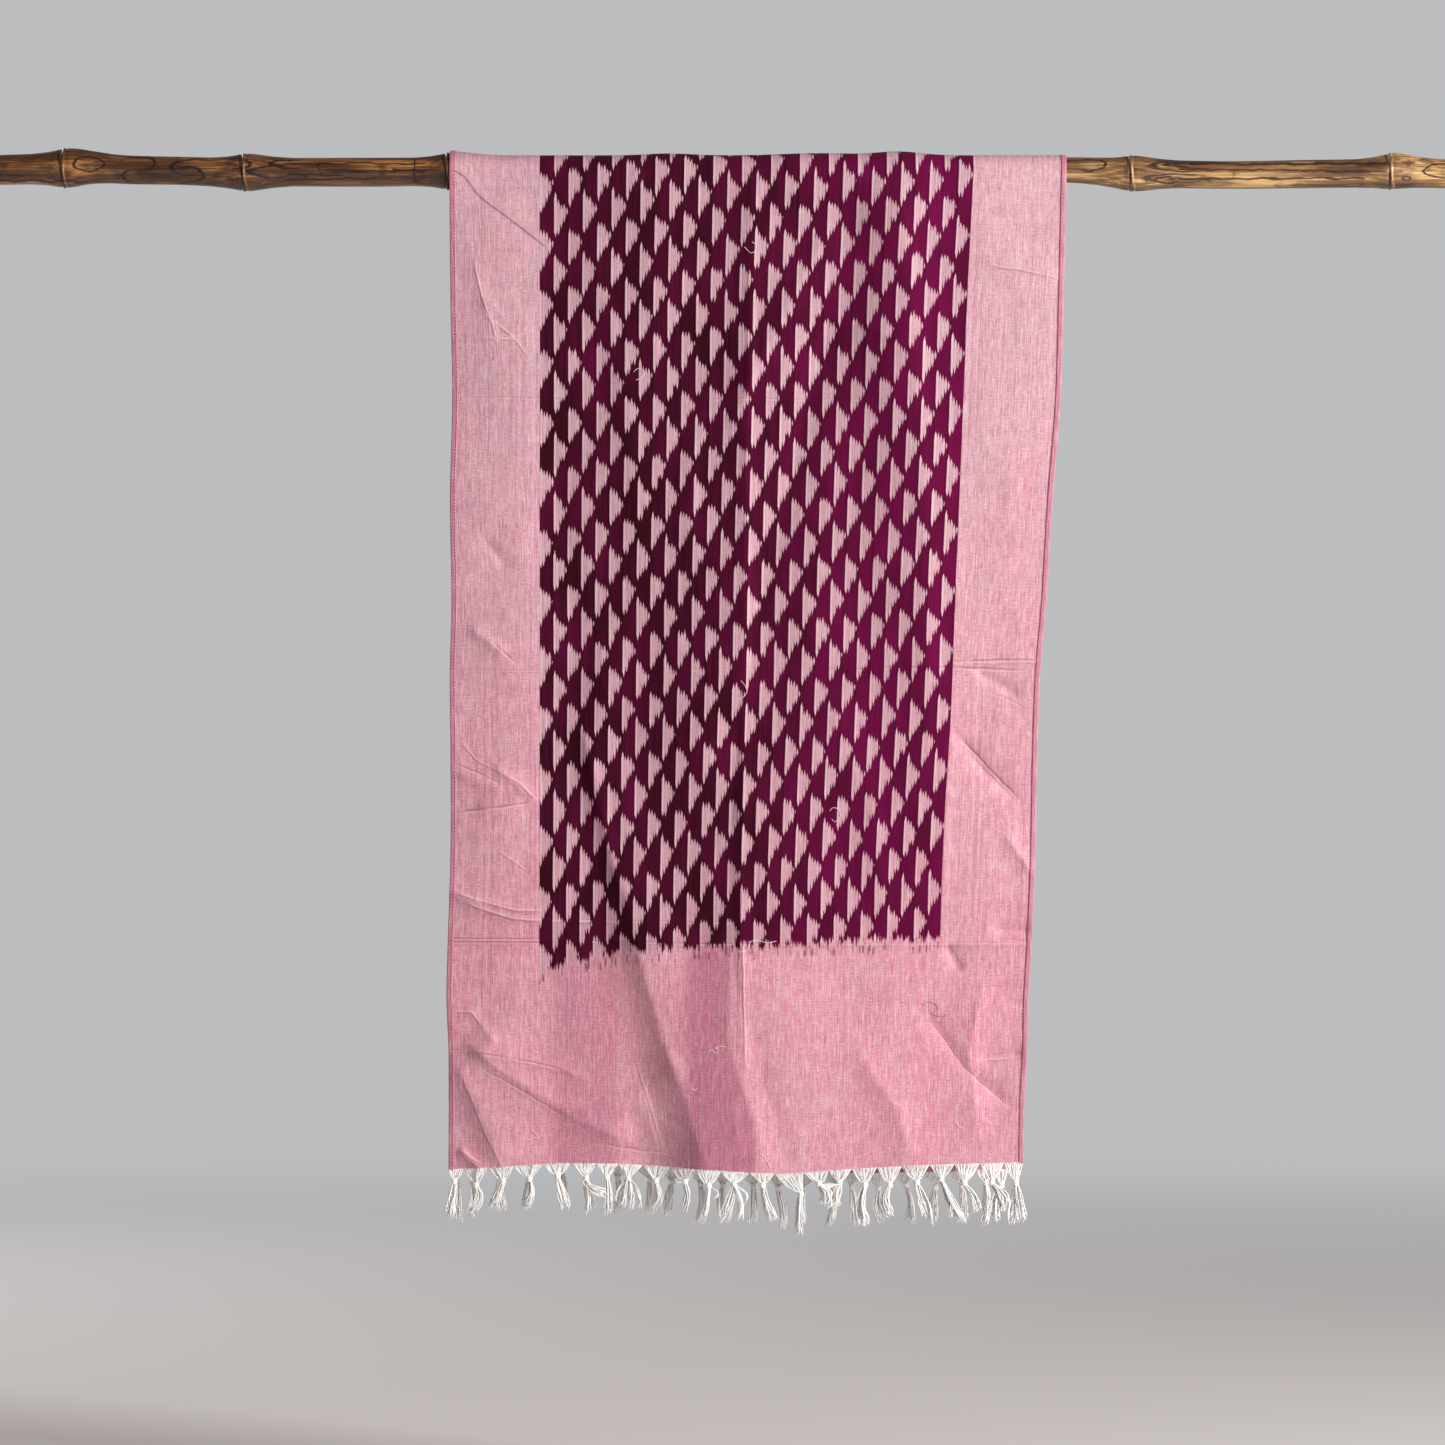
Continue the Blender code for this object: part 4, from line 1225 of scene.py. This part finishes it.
SMUDGES = table(
    Smudge, 1,
    (0.30, -718, 2.0, 30, 12.0),
    (0.40, -588, 2.0, 26, 13.0),
    (0.35, -530, -8.0, 40, 6.0),
    (0.45, -412, 2.0, 26, 11.0),
    (0.25, -340, -4.0, 50, 8.0),
    (0.60, -286, 0.0, 14, 20.0),
    (0.22, 460, 0.0, 70, 10.0),
    (0.50, 536, 1.0, 32, 11.0),
    (0.35, 400, 8.0, 60, 5.0),
    (0.30, 640, 0.0, 30, 8.0),
    (0.50, 333, -4.0, 4, 15.0),
)
Loop = namedtuple("Loop", "closed_side x rise half_length half_height")
LOOPS = table(
    Loop, 1,
    (0.0, -606, 5.2, 13.0, 6.4),
    (1.0, -559, 5.2, 13.5, 6.8),
    (-1.0, -556, -5.6, 20.0, 6.2),
    (-1.0, -508, 2.4, 24.0, 7.4),
    (1.0, -520, -4.6, 19.0, 7.0),
    (1.0, -472, 5.2, 11.0, 5.0),
    (-1.0, -436, -2.0, 24.0, 5.2),
    (-1.0, -424, 5.2, 18.0, 4.0),
    (1.0, 299, 4.8, 15.0, 5.6),
    (-1.0, 386, 3.6, 30.0, 5.0),
    (-1.0, 398, 4.4, 26.0, 2.6),
    (-1.0, 385, -7.8, 34.0, 4.0),
    (-1.0, 616, -1.0, 14.0, 6.0),
    (0.0, 586, -8.0, 3.0, 2.0),
)
LOOP_HALF = 0.00065
RING_SLANT = 0.18


def oval(x, rise, row):
    """How far a point is from an oval's middle, in shares of its size, and how far across."""
    across, up = (x - row.x) / row.half_length, (rise - row.rise) / row.half_height
    return (across * across + up * up).math("SQRT"), across


def stroke_mask(x, rise, row):
    """1 along a straight mark."""
    length = math.dist((row.x, row.rise), (row.end_x, row.end_rise))
    way_x, way_rise = (row.end_x - row.x) / length, (row.end_rise - row.rise) / length
    from_x, from_rise = x - row.x, rise - row.rise
    along = from_x * way_x + from_rise * way_rise
    beyond = (along - length / 2).size() - length / 2
    away = (from_x * way_rise - from_rise * way_x).size().most(beyond)
    return away.step(row.half * 1.5, row.half * 0.6)


def loop_mask(x, rise, row):
    """1 along an oval line, or along the half of it that closes to one side."""
    away, across = oval(x, rise, row)
    ring = (away - 1.0).size() * row.half_height
    mask = ring.step(LOOP_HALF * 1.5, LOOP_HALF * 0.5)
    if row.closed_side:
        mask = mask * (across * row.closed_side).step(-0.6, -0.2)
    return mask


def vein_mask(x, around, seed):
    """Thin wandering lines: the contours of a noise that is stretched along the culm."""
    cloud = patches(x * 16.0, around * 0.9, seed, 1.0)
    here = patches(x * 9.0, around * 0.5, seed + 9.0, 0.0).step(0.48, 0.60)
    return (cloud - 0.5).size().step(0.020, 0.008) * here


def bamboo_material(name, dark, middle, pale, mark):
    """Lacquered bamboo: streaks along the culm, burnt marks, veins and a pale scar at each growth ring."""
    made, tree, shader = new_material(name)
    x, y, z = object_place(tree)
    around = z.math("ARCTAN2", y * -1.0)
    fibre = patches(x * 10.0, y * 620.0, z * 620.0, 2.0)
    cloud = patches(x * 14.0, y * 70.0, z * 70.0, 3.0)
    blotch = patches(x * 60.0, y * 90.0, z * 90.0, 3.0)
    tone = cloud + fibre * 0.7 - 0.35
    colour = blend(tone.step(0.22, 0.50), dark, middle)
    colour = blend(tone.step(0.48, 0.78), colour, pale)
    colour = blend(blotch.step(0.56, 0.74) * 0.75, colour, dark)
    front = y.step(0.0015, -0.0015)
    marks = vein_mask(x, around, 3.0) * 0.75 * (1.0 - front)
    bent_x = x + (patches(x * 70.0, z * 130.0, 6.0, 1.0) - 0.5) * 0.009
    bent_z = z + (patches(x * 60.0, z * 130.0, 16.0, 1.0) - 0.5) * 0.0045
    for mask, rows in ((stroke_mask, STROKES), (loop_mask, LOOPS)):
        for row in rows:
            marks = marks.most(mask(bent_x, bent_z, row) * front)
    smudges = blotch * 0.0
    for row in SMUDGES:
        away, _ = oval(x, z, row)
        smudges = smudges.most(away.step(1.2, 0.1) * row.depth)
    colour = blend(smudges * (fibre * 0.9 + 0.35), colour, mark)
    worn = patches(x * 140.0, around * 4.0, 5.0, 2.0).step(0.25, 0.50)
    colour = blend(marks * (worn * 0.35 + 0.60), colour, mark)
    scar, groove = 0.0, 0.0
    for ring in ROD_RINGS:
        slant = x - ring.x + z * RING_SLANT
        scar = (slant - 0.0008).size().step(0.0012, 0.0005) + scar
        groove = (slant + 0.0014).size().step(0.0016, 0.0006) + groove
    colour = blend(scar * worn * 0.45, colour, pale)
    colour = blend(groove * (worn * 0.6 + 0.3), colour, mark)
    bump(shader, fibre * 0.5 + blotch * 0.5 - marks * 0.3, 0.0005, 0.6)
    set_shader(shader, colour, {"Roughness": 0.42, "Coat Weight": 0.22, "Coat Roughness": 0.18})
    return made


class Yarns:
    """Gathers many thin tubes into one mesh."""

    def __init__(self):
        self.points, self.faces, self.count = [], [], 0

    def add(self, path, radius, sides=3, ends=(1.0, 1.0)):
        """Adds a tube along a path. ends are the shares of its radius that its two ends have."""
        path = np.asarray(path, float)
        tangent = np.gradient(path, axis=0)
        tangent /= np.linalg.norm(tangent, axis=1)[:, None]
        across = np.eye(3)[np.abs(tangent).max(0).argmin()]
        side = np.cross(tangent, across)
        side /= np.linalg.norm(side, axis=1)[:, None]
        other = np.cross(side, tangent)
        share = np.interp(np.linspace(0, 1, len(path)), [0, 0.2, 0.8, 1], [ends[0], 1, 1, ends[1]])
        turn = np.arange(sides) * 2 * math.pi / sides
        ring = side[:, None] * np.cos(turn)[:, None] + other[:, None] * np.sin(turn)[:, None]
        points = path[:, None] + ring * (radius * share)[:, None, None]
        self.faces += tube_faces(len(path), sides, self.count)
        self.points.append(points.reshape(-1, 3))
        self.count += len(path) * sides

    def mesh(self, name):
        return smooth_mesh(name, np.concatenate(self.points), self.faces)


def bowed(start, end, bow, count):
    """A path from start to end that bows sideways."""
    t = np.linspace(0.0, 1.0, count)[:, None]
    start, end = np.asarray(start, float), np.asarray(end, float)
    path = start + (end - start) * t
    path[:, 0] += bow * np.sin(math.pi * t[:, 0])
    return path


def grow_knot(yarns, centre, jitter):
    """An overhand knot: threads wound round the bundle, one over the other."""
    for i in range(KNOT_WRAPS):
        level = (i + 0.5) / KNOT_WRAPS - 0.5
        radius = KNOT_RADIUS * (1.0 - KNOT_TAPER * level * level) * jitter.uniform(*WRAP_SIZES)
        tilt = jitter.uniform(-WRAP_TILT_STRAY, WRAP_TILT_STRAY) + (WRAP_TILT if i % 2 else -WRAP_TILT)
        turn = np.linspace(0.0, 2 * math.pi, KNOT_CORNERS + 1)
        turn[-1] -= WRAP_OVERLAP
        path = np.stack([
            centre[0] + radius * KNOT_WIDTH * np.cos(turn),
            centre[1] + radius * KNOT_THICKNESS * np.sin(turn),
            centre[2] + level * KNOT_HEIGHT * WRAP_PACKING + tilt * radius * np.cos(turn),
        ], 1)
        yarns.add(path, WRAP_RADIUS, 5)


def grow_skirt(yarns, centre, tip, bow, spread, threads, jitter):
    """The threads that hang out of a knot in a few locks, each with its own small waves and cut end."""
    t = np.linspace(0.0, 1.0, SKIRT_POINTS)
    locks = max(min(SKIRT_LOCKS, threads // 4), 1)
    for lock in range(locks):
        side = 2 * math.pi * lock / locks + jitter.uniform(-LOCK_TURN, LOCK_TURN)
        reach = spread * jitter.uniform(*LOCK_REACH)
        lean, drop = jitter.uniform(-LOCK_LEAN, LOCK_LEAN), jitter.uniform(*LOCK_DROP)
        for _ in range(threads // locks):
            around, out = jitter.uniform(0.0, 2 * math.pi), math.sqrt(jitter.random())
            stray = spread * out * (1.0 + FLYAWAY * jitter.random() ** FLYAWAY_POWER)
            root = (
                centre[0] + ROOT_WIDTH * math.cos(side) + ROOT_STRAY * out * math.cos(around),
                centre[1] + ROOT_THICKNESS * math.sin(side) + ROOT_STRAY * out * math.sin(around),
                centre[2] - KNOT_HEIGHT * ROOT_LEVEL,
            )
            end = (
                tip[0] + reach * math.cos(side) + END_STRAY_X * stray * math.cos(around),
                tip[1] + LOCK_FLATNESS * reach * math.sin(side) + END_STRAY_Y * stray * math.sin(around),
                tip[2] + drop + jitter.uniform(*THREAD_CUT),
            )
            lean_here = lean + jitter.uniform(-THREAD_LEAN, THREAD_LEAN)
            path = bowed(root, end, bow + lean_here, SKIRT_POINTS)
            belly = spread * SKIRT_BELLY * np.sin(math.pi * t**BELLY_POWER) * (1.0 - t * BELLY_FADE)
            path[:, 0] += belly * math.cos(side)
            path[:, 1] += belly * math.sin(side) * BELLY_FLATNESS
            wave, phase = jitter.uniform(*THREAD_WAVE), jitter.uniform(0.0, 2 * math.pi)
            path[:, 0] += wave * np.sin(phase + t * jitter.uniform(*THREAD_TURNS)) * t
            path[:, 1] += wave * np.cos(phase + t * jitter.uniform(*THREAD_TURNS)) * t
            yarns.add(path, YARN_RADIUS, 3, (1.0, THREAD_END))


def build_fringe(name, fall, tassels, wisps, solid, finish):
    """The warp ends under one hem: fans of threads, their knots and their skirts."""
    yarns = Yarns()
    jitter = random.Random(5 + fall.side)
    from_edge, before_next, after_last = FAN_GAPS
    left = fall.edges[-1].left + from_edge
    t = np.linspace(0.0, 1.0, FAN_POINTS)
    for number, tassel in enumerate(tassels):
        hem_x = np.linspace(left, tassel.right - before_next, FAN_THREADS)
        hem_drop = read(fall.hem, "x", "drop", hem_x)
        hem_y = fall.side * fall_depth(fall, hem_x, hem_drop)
        depth = float(np.mean(hem_y))
        knot = (tassel.knot_x, depth, -tassel.knot_drop)
        for i in range(FAN_THREADS):
            share = 2 * i / (FAN_THREADS - 1) - 1
            top_y = hem_y[i] + jitter.uniform(-FAN_STRAY, FAN_STRAY)
            top = (hem_x[i], top_y, -hem_drop[i] + FAN_OVER_HEM)
            low = (
                knot[0] + MOUTH_HALF * share + jitter.uniform(-MOUTH_STRAY, MOUTH_STRAY),
                knot[1] + jitter.uniform(-MOUTH_DEPTH, MOUTH_DEPTH),
                knot[2] + KNOT_HEIGHT * MOUTH_LEVEL,
            )
            path = bowed(top, low, 0.0, FAN_POINTS)
            path[:, 2] -= FAN_SAG * np.sin(math.pi * t) * abs(share) * jitter.uniform(*FAN_SAGS)
            path[:, 1] += jitter.uniform(-FAN_BELLY, FAN_BELLY) * np.sin(math.pi * t)
            yarns.add(path, FAN_RADIUS, 4)
        grow_knot(yarns, knot, jitter)
        own_wisps = [wisp for wisp in wisps if wisp.tassel == number]
        threads = max(SKIRT_THREADS - sum(wisp.threads for wisp in own_wisps) // 2, SKIRT_LEAST)
        tip = (tassel.tip_x, depth, -tassel.tip_drop + TIP_LIFT)
        grow_skirt(yarns, knot, tip, tassel.bow, tassel.spread, threads, jitter)
        for wisp in own_wisps:
            end = (knot[0] + wisp.right, depth + fall.side * WISP_OUT, knot[2] - wisp.down)
            grow_skirt(yarns, knot, end, wisp.bow, wisp.spread, wisp.threads, jitter)
        left = tassel.right + after_last
    piece = new_piece(name, yarns.mesh(name), finish)
    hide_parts(solid)
    return piece


def back_tassels():
    """The back tassels: each knot and tip a little off its place."""
    jitter = random.Random(11)
    ends = [(one + other) / 2 for one, other in zip(BACK_KNOTS, BACK_KNOTS[1:])] + [BACK_EDGES[-1].right]
    made = []
    for i, (knot_x, right) in enumerate(zip(BACK_KNOTS, ends)):
        knot_drop = float(read(BACK_HEM, "x", "drop", knot_x)) + BACK_KNOT_BELOW_HEM
        knot_drop += jitter.uniform(-BACK_KNOT_STRAY, BACK_KNOT_STRAY)
        tip_x = knot_x + jitter.uniform(-BACK_TIP_STRAY, BACK_TIP_STRAY)
        tip_drop = knot_drop + BACK_TASSEL_LENGTH + jitter.uniform(-BACK_TASSEL_STRAY, BACK_TASSEL_STRAY)
        bow = BACK_BOW * math.sin(i * 2.3)
        made.append(Tassel(right, knot_x, knot_drop, tip_x, tip_drop, bow, BACK_SPREAD))
    return made


def build_cloth():
    """The stole's cloth, in two stretches that meet behind the pole."""
    across = sheet_columns()
    finish = cloth_material()
    front_mesh = grid_mesh("stole_cloth_front", FRONT_FALL, *front_grid(across, FRONT_ROWS))
    front = new_piece("stole_cloth_front", front_mesh, finish)
    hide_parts("stole_front", "stole_over_rod")
    back_mesh = grid_mesh("stole_cloth_back", BACK_FALL, *back_grid(across, BACK_ROWS))
    back = new_piece("stole_cloth_back", back_mesh, finish)
    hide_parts("stole_back")
    return front, back


def sheet_frames(grid):
    """For a grid of points: the cloth's outward direction at each."""
    down = np.gradient(grid, axis=0)
    across = np.gradient(grid, axis=1)
    normal = np.cross(down, across)
    return normal / np.linalg.norm(normal, axis=2)[..., None]


def hem_mesh(name, grid, normal, side):
    """A closed band round the cloth's edge: rounded at the edge, and with a small step at the seam."""
    heights = np.array(HEM_HEIGHTS[::-side]) * HEM_HALF
    outer = grid + normal * heights[None, :, None]
    inner = grid - normal * heights[None, :, None]
    ring = np.concatenate([outer, inner[:, ::-1]], 1)
    rows, count = ring.shape[:2]
    faces = []
    for i in range(rows - 1):
        low, high = i * count, (i + 1) * count
        faces += [(low + k, high + k, high + (k + 1) % count, low + (k + 1) % count) for k in range(count)]
    last = (rows - 1) * count
    faces += [tuple(range(count)), tuple(range(last + count - 1, last - 1, -1))]
    return smooth_mesh(name, ring, faces)


def build_hem(name, grid_of, rows, side, finish, thread):
    """One turned side hem of a stretch of the cloth, with its row of stitches on both faces."""
    shares = np.array(HEM_SHARES) * HEM_WIDTH / CLOTH_WIDTH
    grid = grid_of(shares if side < 0 else 1.0 - shares[::-1], rows)[0]
    normal = sheet_frames(grid)
    hem = new_piece(name, hem_mesh(name, grid, normal, side), finish)
    column = STITCH_COLUMN if side < 0 else len(HEM_SHARES) - 1 - STITCH_COLUMN
    seam, out = grid[:, column], normal[:, column]
    walked = np.concatenate([[0.0], np.cumsum(np.linalg.norm(np.diff(seam, axis=0), axis=1))])
    stitches = Yarns()
    for start in np.arange(STITCH_PITCH, walked[-1] - STITCH_PITCH, STITCH_PITCH):
        at = start + STITCH_LENGTH * np.array(STITCH_PLACES)
        places = np.stack([np.interp(at, walked, seam[:, k]) for k in range(3)], 1)
        outward = np.stack([np.interp(at, walked, out[:, k]) for k in range(3)], 1)
        lift = HEM_HALF * np.array(STITCH_LIFTS)[:, None]
        for face in (1, -1):
            stitches.add(places + face * outward * lift, STITCH_RADIUS, 4, (0.6, 0.6))
    sewn = new_piece(name + "_stitches", stitches.mesh(name + "_stitches"), thread)
    return [hem, sewn]


def rod_mesh(name, start, end):
    """One stretch of the pole, turned round its gently bending line and closed at both ends."""
    places = set(np.linspace(start, end, round((end - start) / ROD_STEP) + 1).round(6).tolist())
    for ring in ROD_RINGS:
        if start < ring.x < end:
            close = ring.x + np.arange(-RING_REACH, RING_REACH + RING_STEP / 2, RING_STEP)
            places |= set(close.round(6).tolist())
    x = np.array(sorted(places))
    swelling = sum(ring.swelling * read(RING_PROFILE, "along", "share", x - ring.x) for ring in ROD_RINGS)
    radius = read(ROD_BENDS, "x", "radius", x) + swelling
    for stop, way in ((ROD_LEFT_END, 1), (ROD_RIGHT_END, -1)):
        from_end = (x - stop) * way
        radius = np.where(from_end < ROD_EDGE, radius - ROD_EDGE + np.maximum(from_end, 0.0), radius)
    rise = read(ROD_BENDS, "x", "rise", x)
    turn = np.arange(ROD_SIDES) * 2 * math.pi / ROD_SIDES
    rings = np.stack(np.broadcast_arrays(
        x[:, None],
        -radius[:, None] * np.cos(turn),
        rise[:, None] + radius[:, None] * np.sin(turn),
    ), -1)
    mesh = smooth_mesh(name, rings, tube_faces(len(x), ROD_SIDES))
    mesh.set_sharp_from_angle(angle=ROD_SHARP)
    return mesh


def build_rod():
    """The pole, in two stretches that meet in a growth ring under the cloth."""
    brown = (linear(34, 19, 9), linear(88, 53, 25), linear(172, 116, 62), linear(20, 10, 7))
    straw = (linear(50, 31, 19), linear(122, 87, 50), linear(208, 168, 112), linear(48, 26, 22))
    for name, look, start, end, colours in (
        ("bamboo_left", "bamboo_brown", ROD_LEFT_END, ROD_PARTING, brown),
        ("bamboo_right", "bamboo_straw", ROD_PARTING, ROD_RIGHT_END, straw),
    ):
        piece = new_piece(name, rod_mesh(name, start, end), bamboo_material(look, *colours))
        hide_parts("bamboo_rod")


def thread_path(marks, lift):
    """A smooth path just above the front of the cloth through a thread's points."""
    rows = [Mark(i, *mark) for i, mark in enumerate(marks)]
    at = np.linspace(0.0, len(rows) - 1.0, THREAD_STEPS * len(rows))
    x, drop = read(rows, "number", "x", at), read(rows, "number", "drop", at)
    return np.stack([x, -fall_depth(FRONT_FALL, x, np.maximum(drop, 0.0)) - lift, -drop], -1)


def build_threads():
    """Loose thread ends that cling to the cloth."""
    made = []
    for name, lines, lift, first, second in (
        ("loose_ends_pale", PALE_ENDS, THREAD_LIFT, linear(238, 226, 226), linear(250, 246, 244)),
        ("loose_end_plum", (PLUM_END,), PLUM_LIFT, linear(70, 20, 48), linear(110, 40, 80)),
        ("loose_end_grey", (GREY_END,), THREAD_LIFT, linear(140, 124, 130), linear(172, 156, 160)),
    ):
        yarns = Yarns()
        for marks in lines:
            yarns.add(thread_path(marks, lift), THREAD_RADIUS, 5)
        finish = thread_material(name, first, second, 700.0, 700.0, 0.85)
        made.append(new_piece(name, yarns.mesh(name), finish))
    return made


# The camera looks level at the cloth, as in the photograph
VIEW_X = -0.0326
VIEW_Z = -0.5000
VIEW_DISTANCE = 6.0
CLOTH_PLANE_Y = -0.004
VIEW_WIDTH = 1.309
SENSOR = 36.0
FLOOR_DROP = 1.20
FLOOR_HALF = 60.0
FLOOR_NEAR = 1.2
FLOOR_FAR = 5.0
STUDIO_PALE = (0.50, 0.51, 0.52, 1.0)
AMBIENT_COLOUR = (1.0, 0.80, 0.85, 1.0)
AMBIENT = 0.21

# Soft lamps: where each is, its width and height, its power in watts and its colour
Lamp = namedtuple("Lamp", "name place width height power colour")
LAMPS = (
    Lamp("key", (3.0, -1.9, 0.4), 1.0, 1.4, 196.0, (1.0, 0.985, 0.96)),
    Lamp("fill", (-2.6, -3.0, 0.0), 2.4, 2.4, 6.0, (1.0, 0.95, 0.96)),
    Lamp("back", (-2.4, 2.8, 1.0), 2.0, 2.0, 70.0, (1.0, 0.99, 0.98)),
)
LIT_POINT = (0.0, 0.0, -0.45)


def hang_lamp(row):
    """A soft lamp that shines at the stole."""
    lamp = bpy.data.lights.new(row.name, "AREA")
    lamp.shape = "RECTANGLE"
    lamp.size, lamp.size_y = row.width, row.height
    lamp.energy = row.power
    lamp.color = row.colour
    made = bpy.data.objects.new(row.name, lamp)
    made.location = row.place
    made.rotation_euler = (Vector(LIT_POINT) - Vector(row.place)).to_track_quat("-Z", "Y").to_euler()
    bpy.context.scene.collection.objects.link(made)


def build_floor():
    """A pale floor that passes into the pale studio far from the object."""
    half = FLOOR_HALF
    mesh = bpy.data.meshes.new("floor")
    corners = [(x, y, -FLOOR_DROP) for x, y in ((-half, -half), (half, -half), (half, half), (-half, half))]
    mesh.from_pydata(corners, [], [(0, 1, 2, 3)])
    floor = bpy.data.objects.new("floor", mesh)
    bpy.context.scene.collection.objects.link(floor)
    made, tree, shader = new_material("pale_floor")
    shader.inputs["Base Color"].default_value = linear(208, 207, 205)
    shader.inputs["Roughness"].default_value = 0.9
    x, y, _ = object_place(tree)
    far = (x * x + y * y).math("SQRT").step(FLOOR_NEAR, FLOOR_FAR)
    glow = tree.nodes.new("ShaderNodeEmission")
    glow.inputs["Color"].default_value = STUDIO_PALE
    mixed = tree.nodes.new("ShaderNodeMixShader")
    feed(mixed.inputs["Fac"], far)
    tree.links.new(shader.outputs["BSDF"], mixed.inputs[1])
    tree.links.new(glow.outputs["Emission"], mixed.inputs[2])
    tree.links.new(mixed.outputs["Shader"], tree.nodes["Material Output"].inputs["Surface"])
    mesh.materials.append(made)


def build_world():
    """A pale studio all round, and a dimmer one for the light that it gives."""
    world = bpy.data.worlds.new("pale_studio")
    world.use_nodes = True
    tree = world.node_tree
    seen = tree.nodes["Background"]
    seen.inputs["Color"].default_value = STUDIO_PALE
    given = tree.nodes.new("ShaderNodeBackground")
    given.inputs["Color"].default_value = AMBIENT_COLOUR
    given.inputs["Strength"].default_value = AMBIENT
    path = tree.nodes.new("ShaderNodeLightPath")
    mixed = tree.nodes.new("ShaderNodeMixShader")
    tree.links.new(path.outputs["Is Camera Ray"], mixed.inputs["Fac"])
    tree.links.new(given.outputs[0], mixed.inputs[1])
    tree.links.new(seen.outputs[0], mixed.inputs[2])
    tree.links.new(mixed.outputs[0], tree.nodes["World Output"].inputs["Surface"])
    bpy.context.scene.world = world


def build_stage():
    """A pale floor, pale soft light from the front right, and the camera."""
    scene = bpy.context.scene
    build_floor()
    build_world()
    for row in LAMPS:
        hang_lamp(row)
    camera = bpy.data.cameras.new("camera")
    camera.sensor_width = SENSOR
    camera.lens = SENSOR * VIEW_DISTANCE / VIEW_WIDTH
    viewer = bpy.data.objects.new("camera", camera)
    viewer.location = (VIEW_X, CLOTH_PLANE_Y - VIEW_DISTANCE, VIEW_Z)
    viewer.rotation_euler = (math.pi / 2, 0.0, 0.0)
    scene.collection.objects.link(viewer)
    scene.camera = viewer
    scene.view_settings.view_transform = "Standard"


def main():
    front, back = build_cloth()
    hem_cotton = hem_material()
    sewing = thread_material("sewing_thread", linear(128, 34, 62), linear(164, 66, 92), 500.0, 300.0, 0.7)
    for stretch, grid_of, rows in (("front", front_grid, FRONT_HEM_ROWS), ("back", back_grid, BACK_HEM_ROWS)):
        left = build_hem(f"hem_{stretch}_left", grid_of, rows, -1, hem_cotton, sewing)
        left + build_hem(f"hem_{stretch}_right", grid_of, rows, 1, hem_cotton, sewing)
    yarn = yarn_material()
    front_fringe = build_fringe("fringe_yarn_front", FRONT_FALL, FRONT_TASSELS, WISPS, "fringe_front", yarn)
    back_fringe = build_fringe("fringe_yarn_back", BACK_FALL, back_tassels(), (), "fringe_back", yarn)
    threads = build_threads()
    build_rod()
    build_stage()


main()
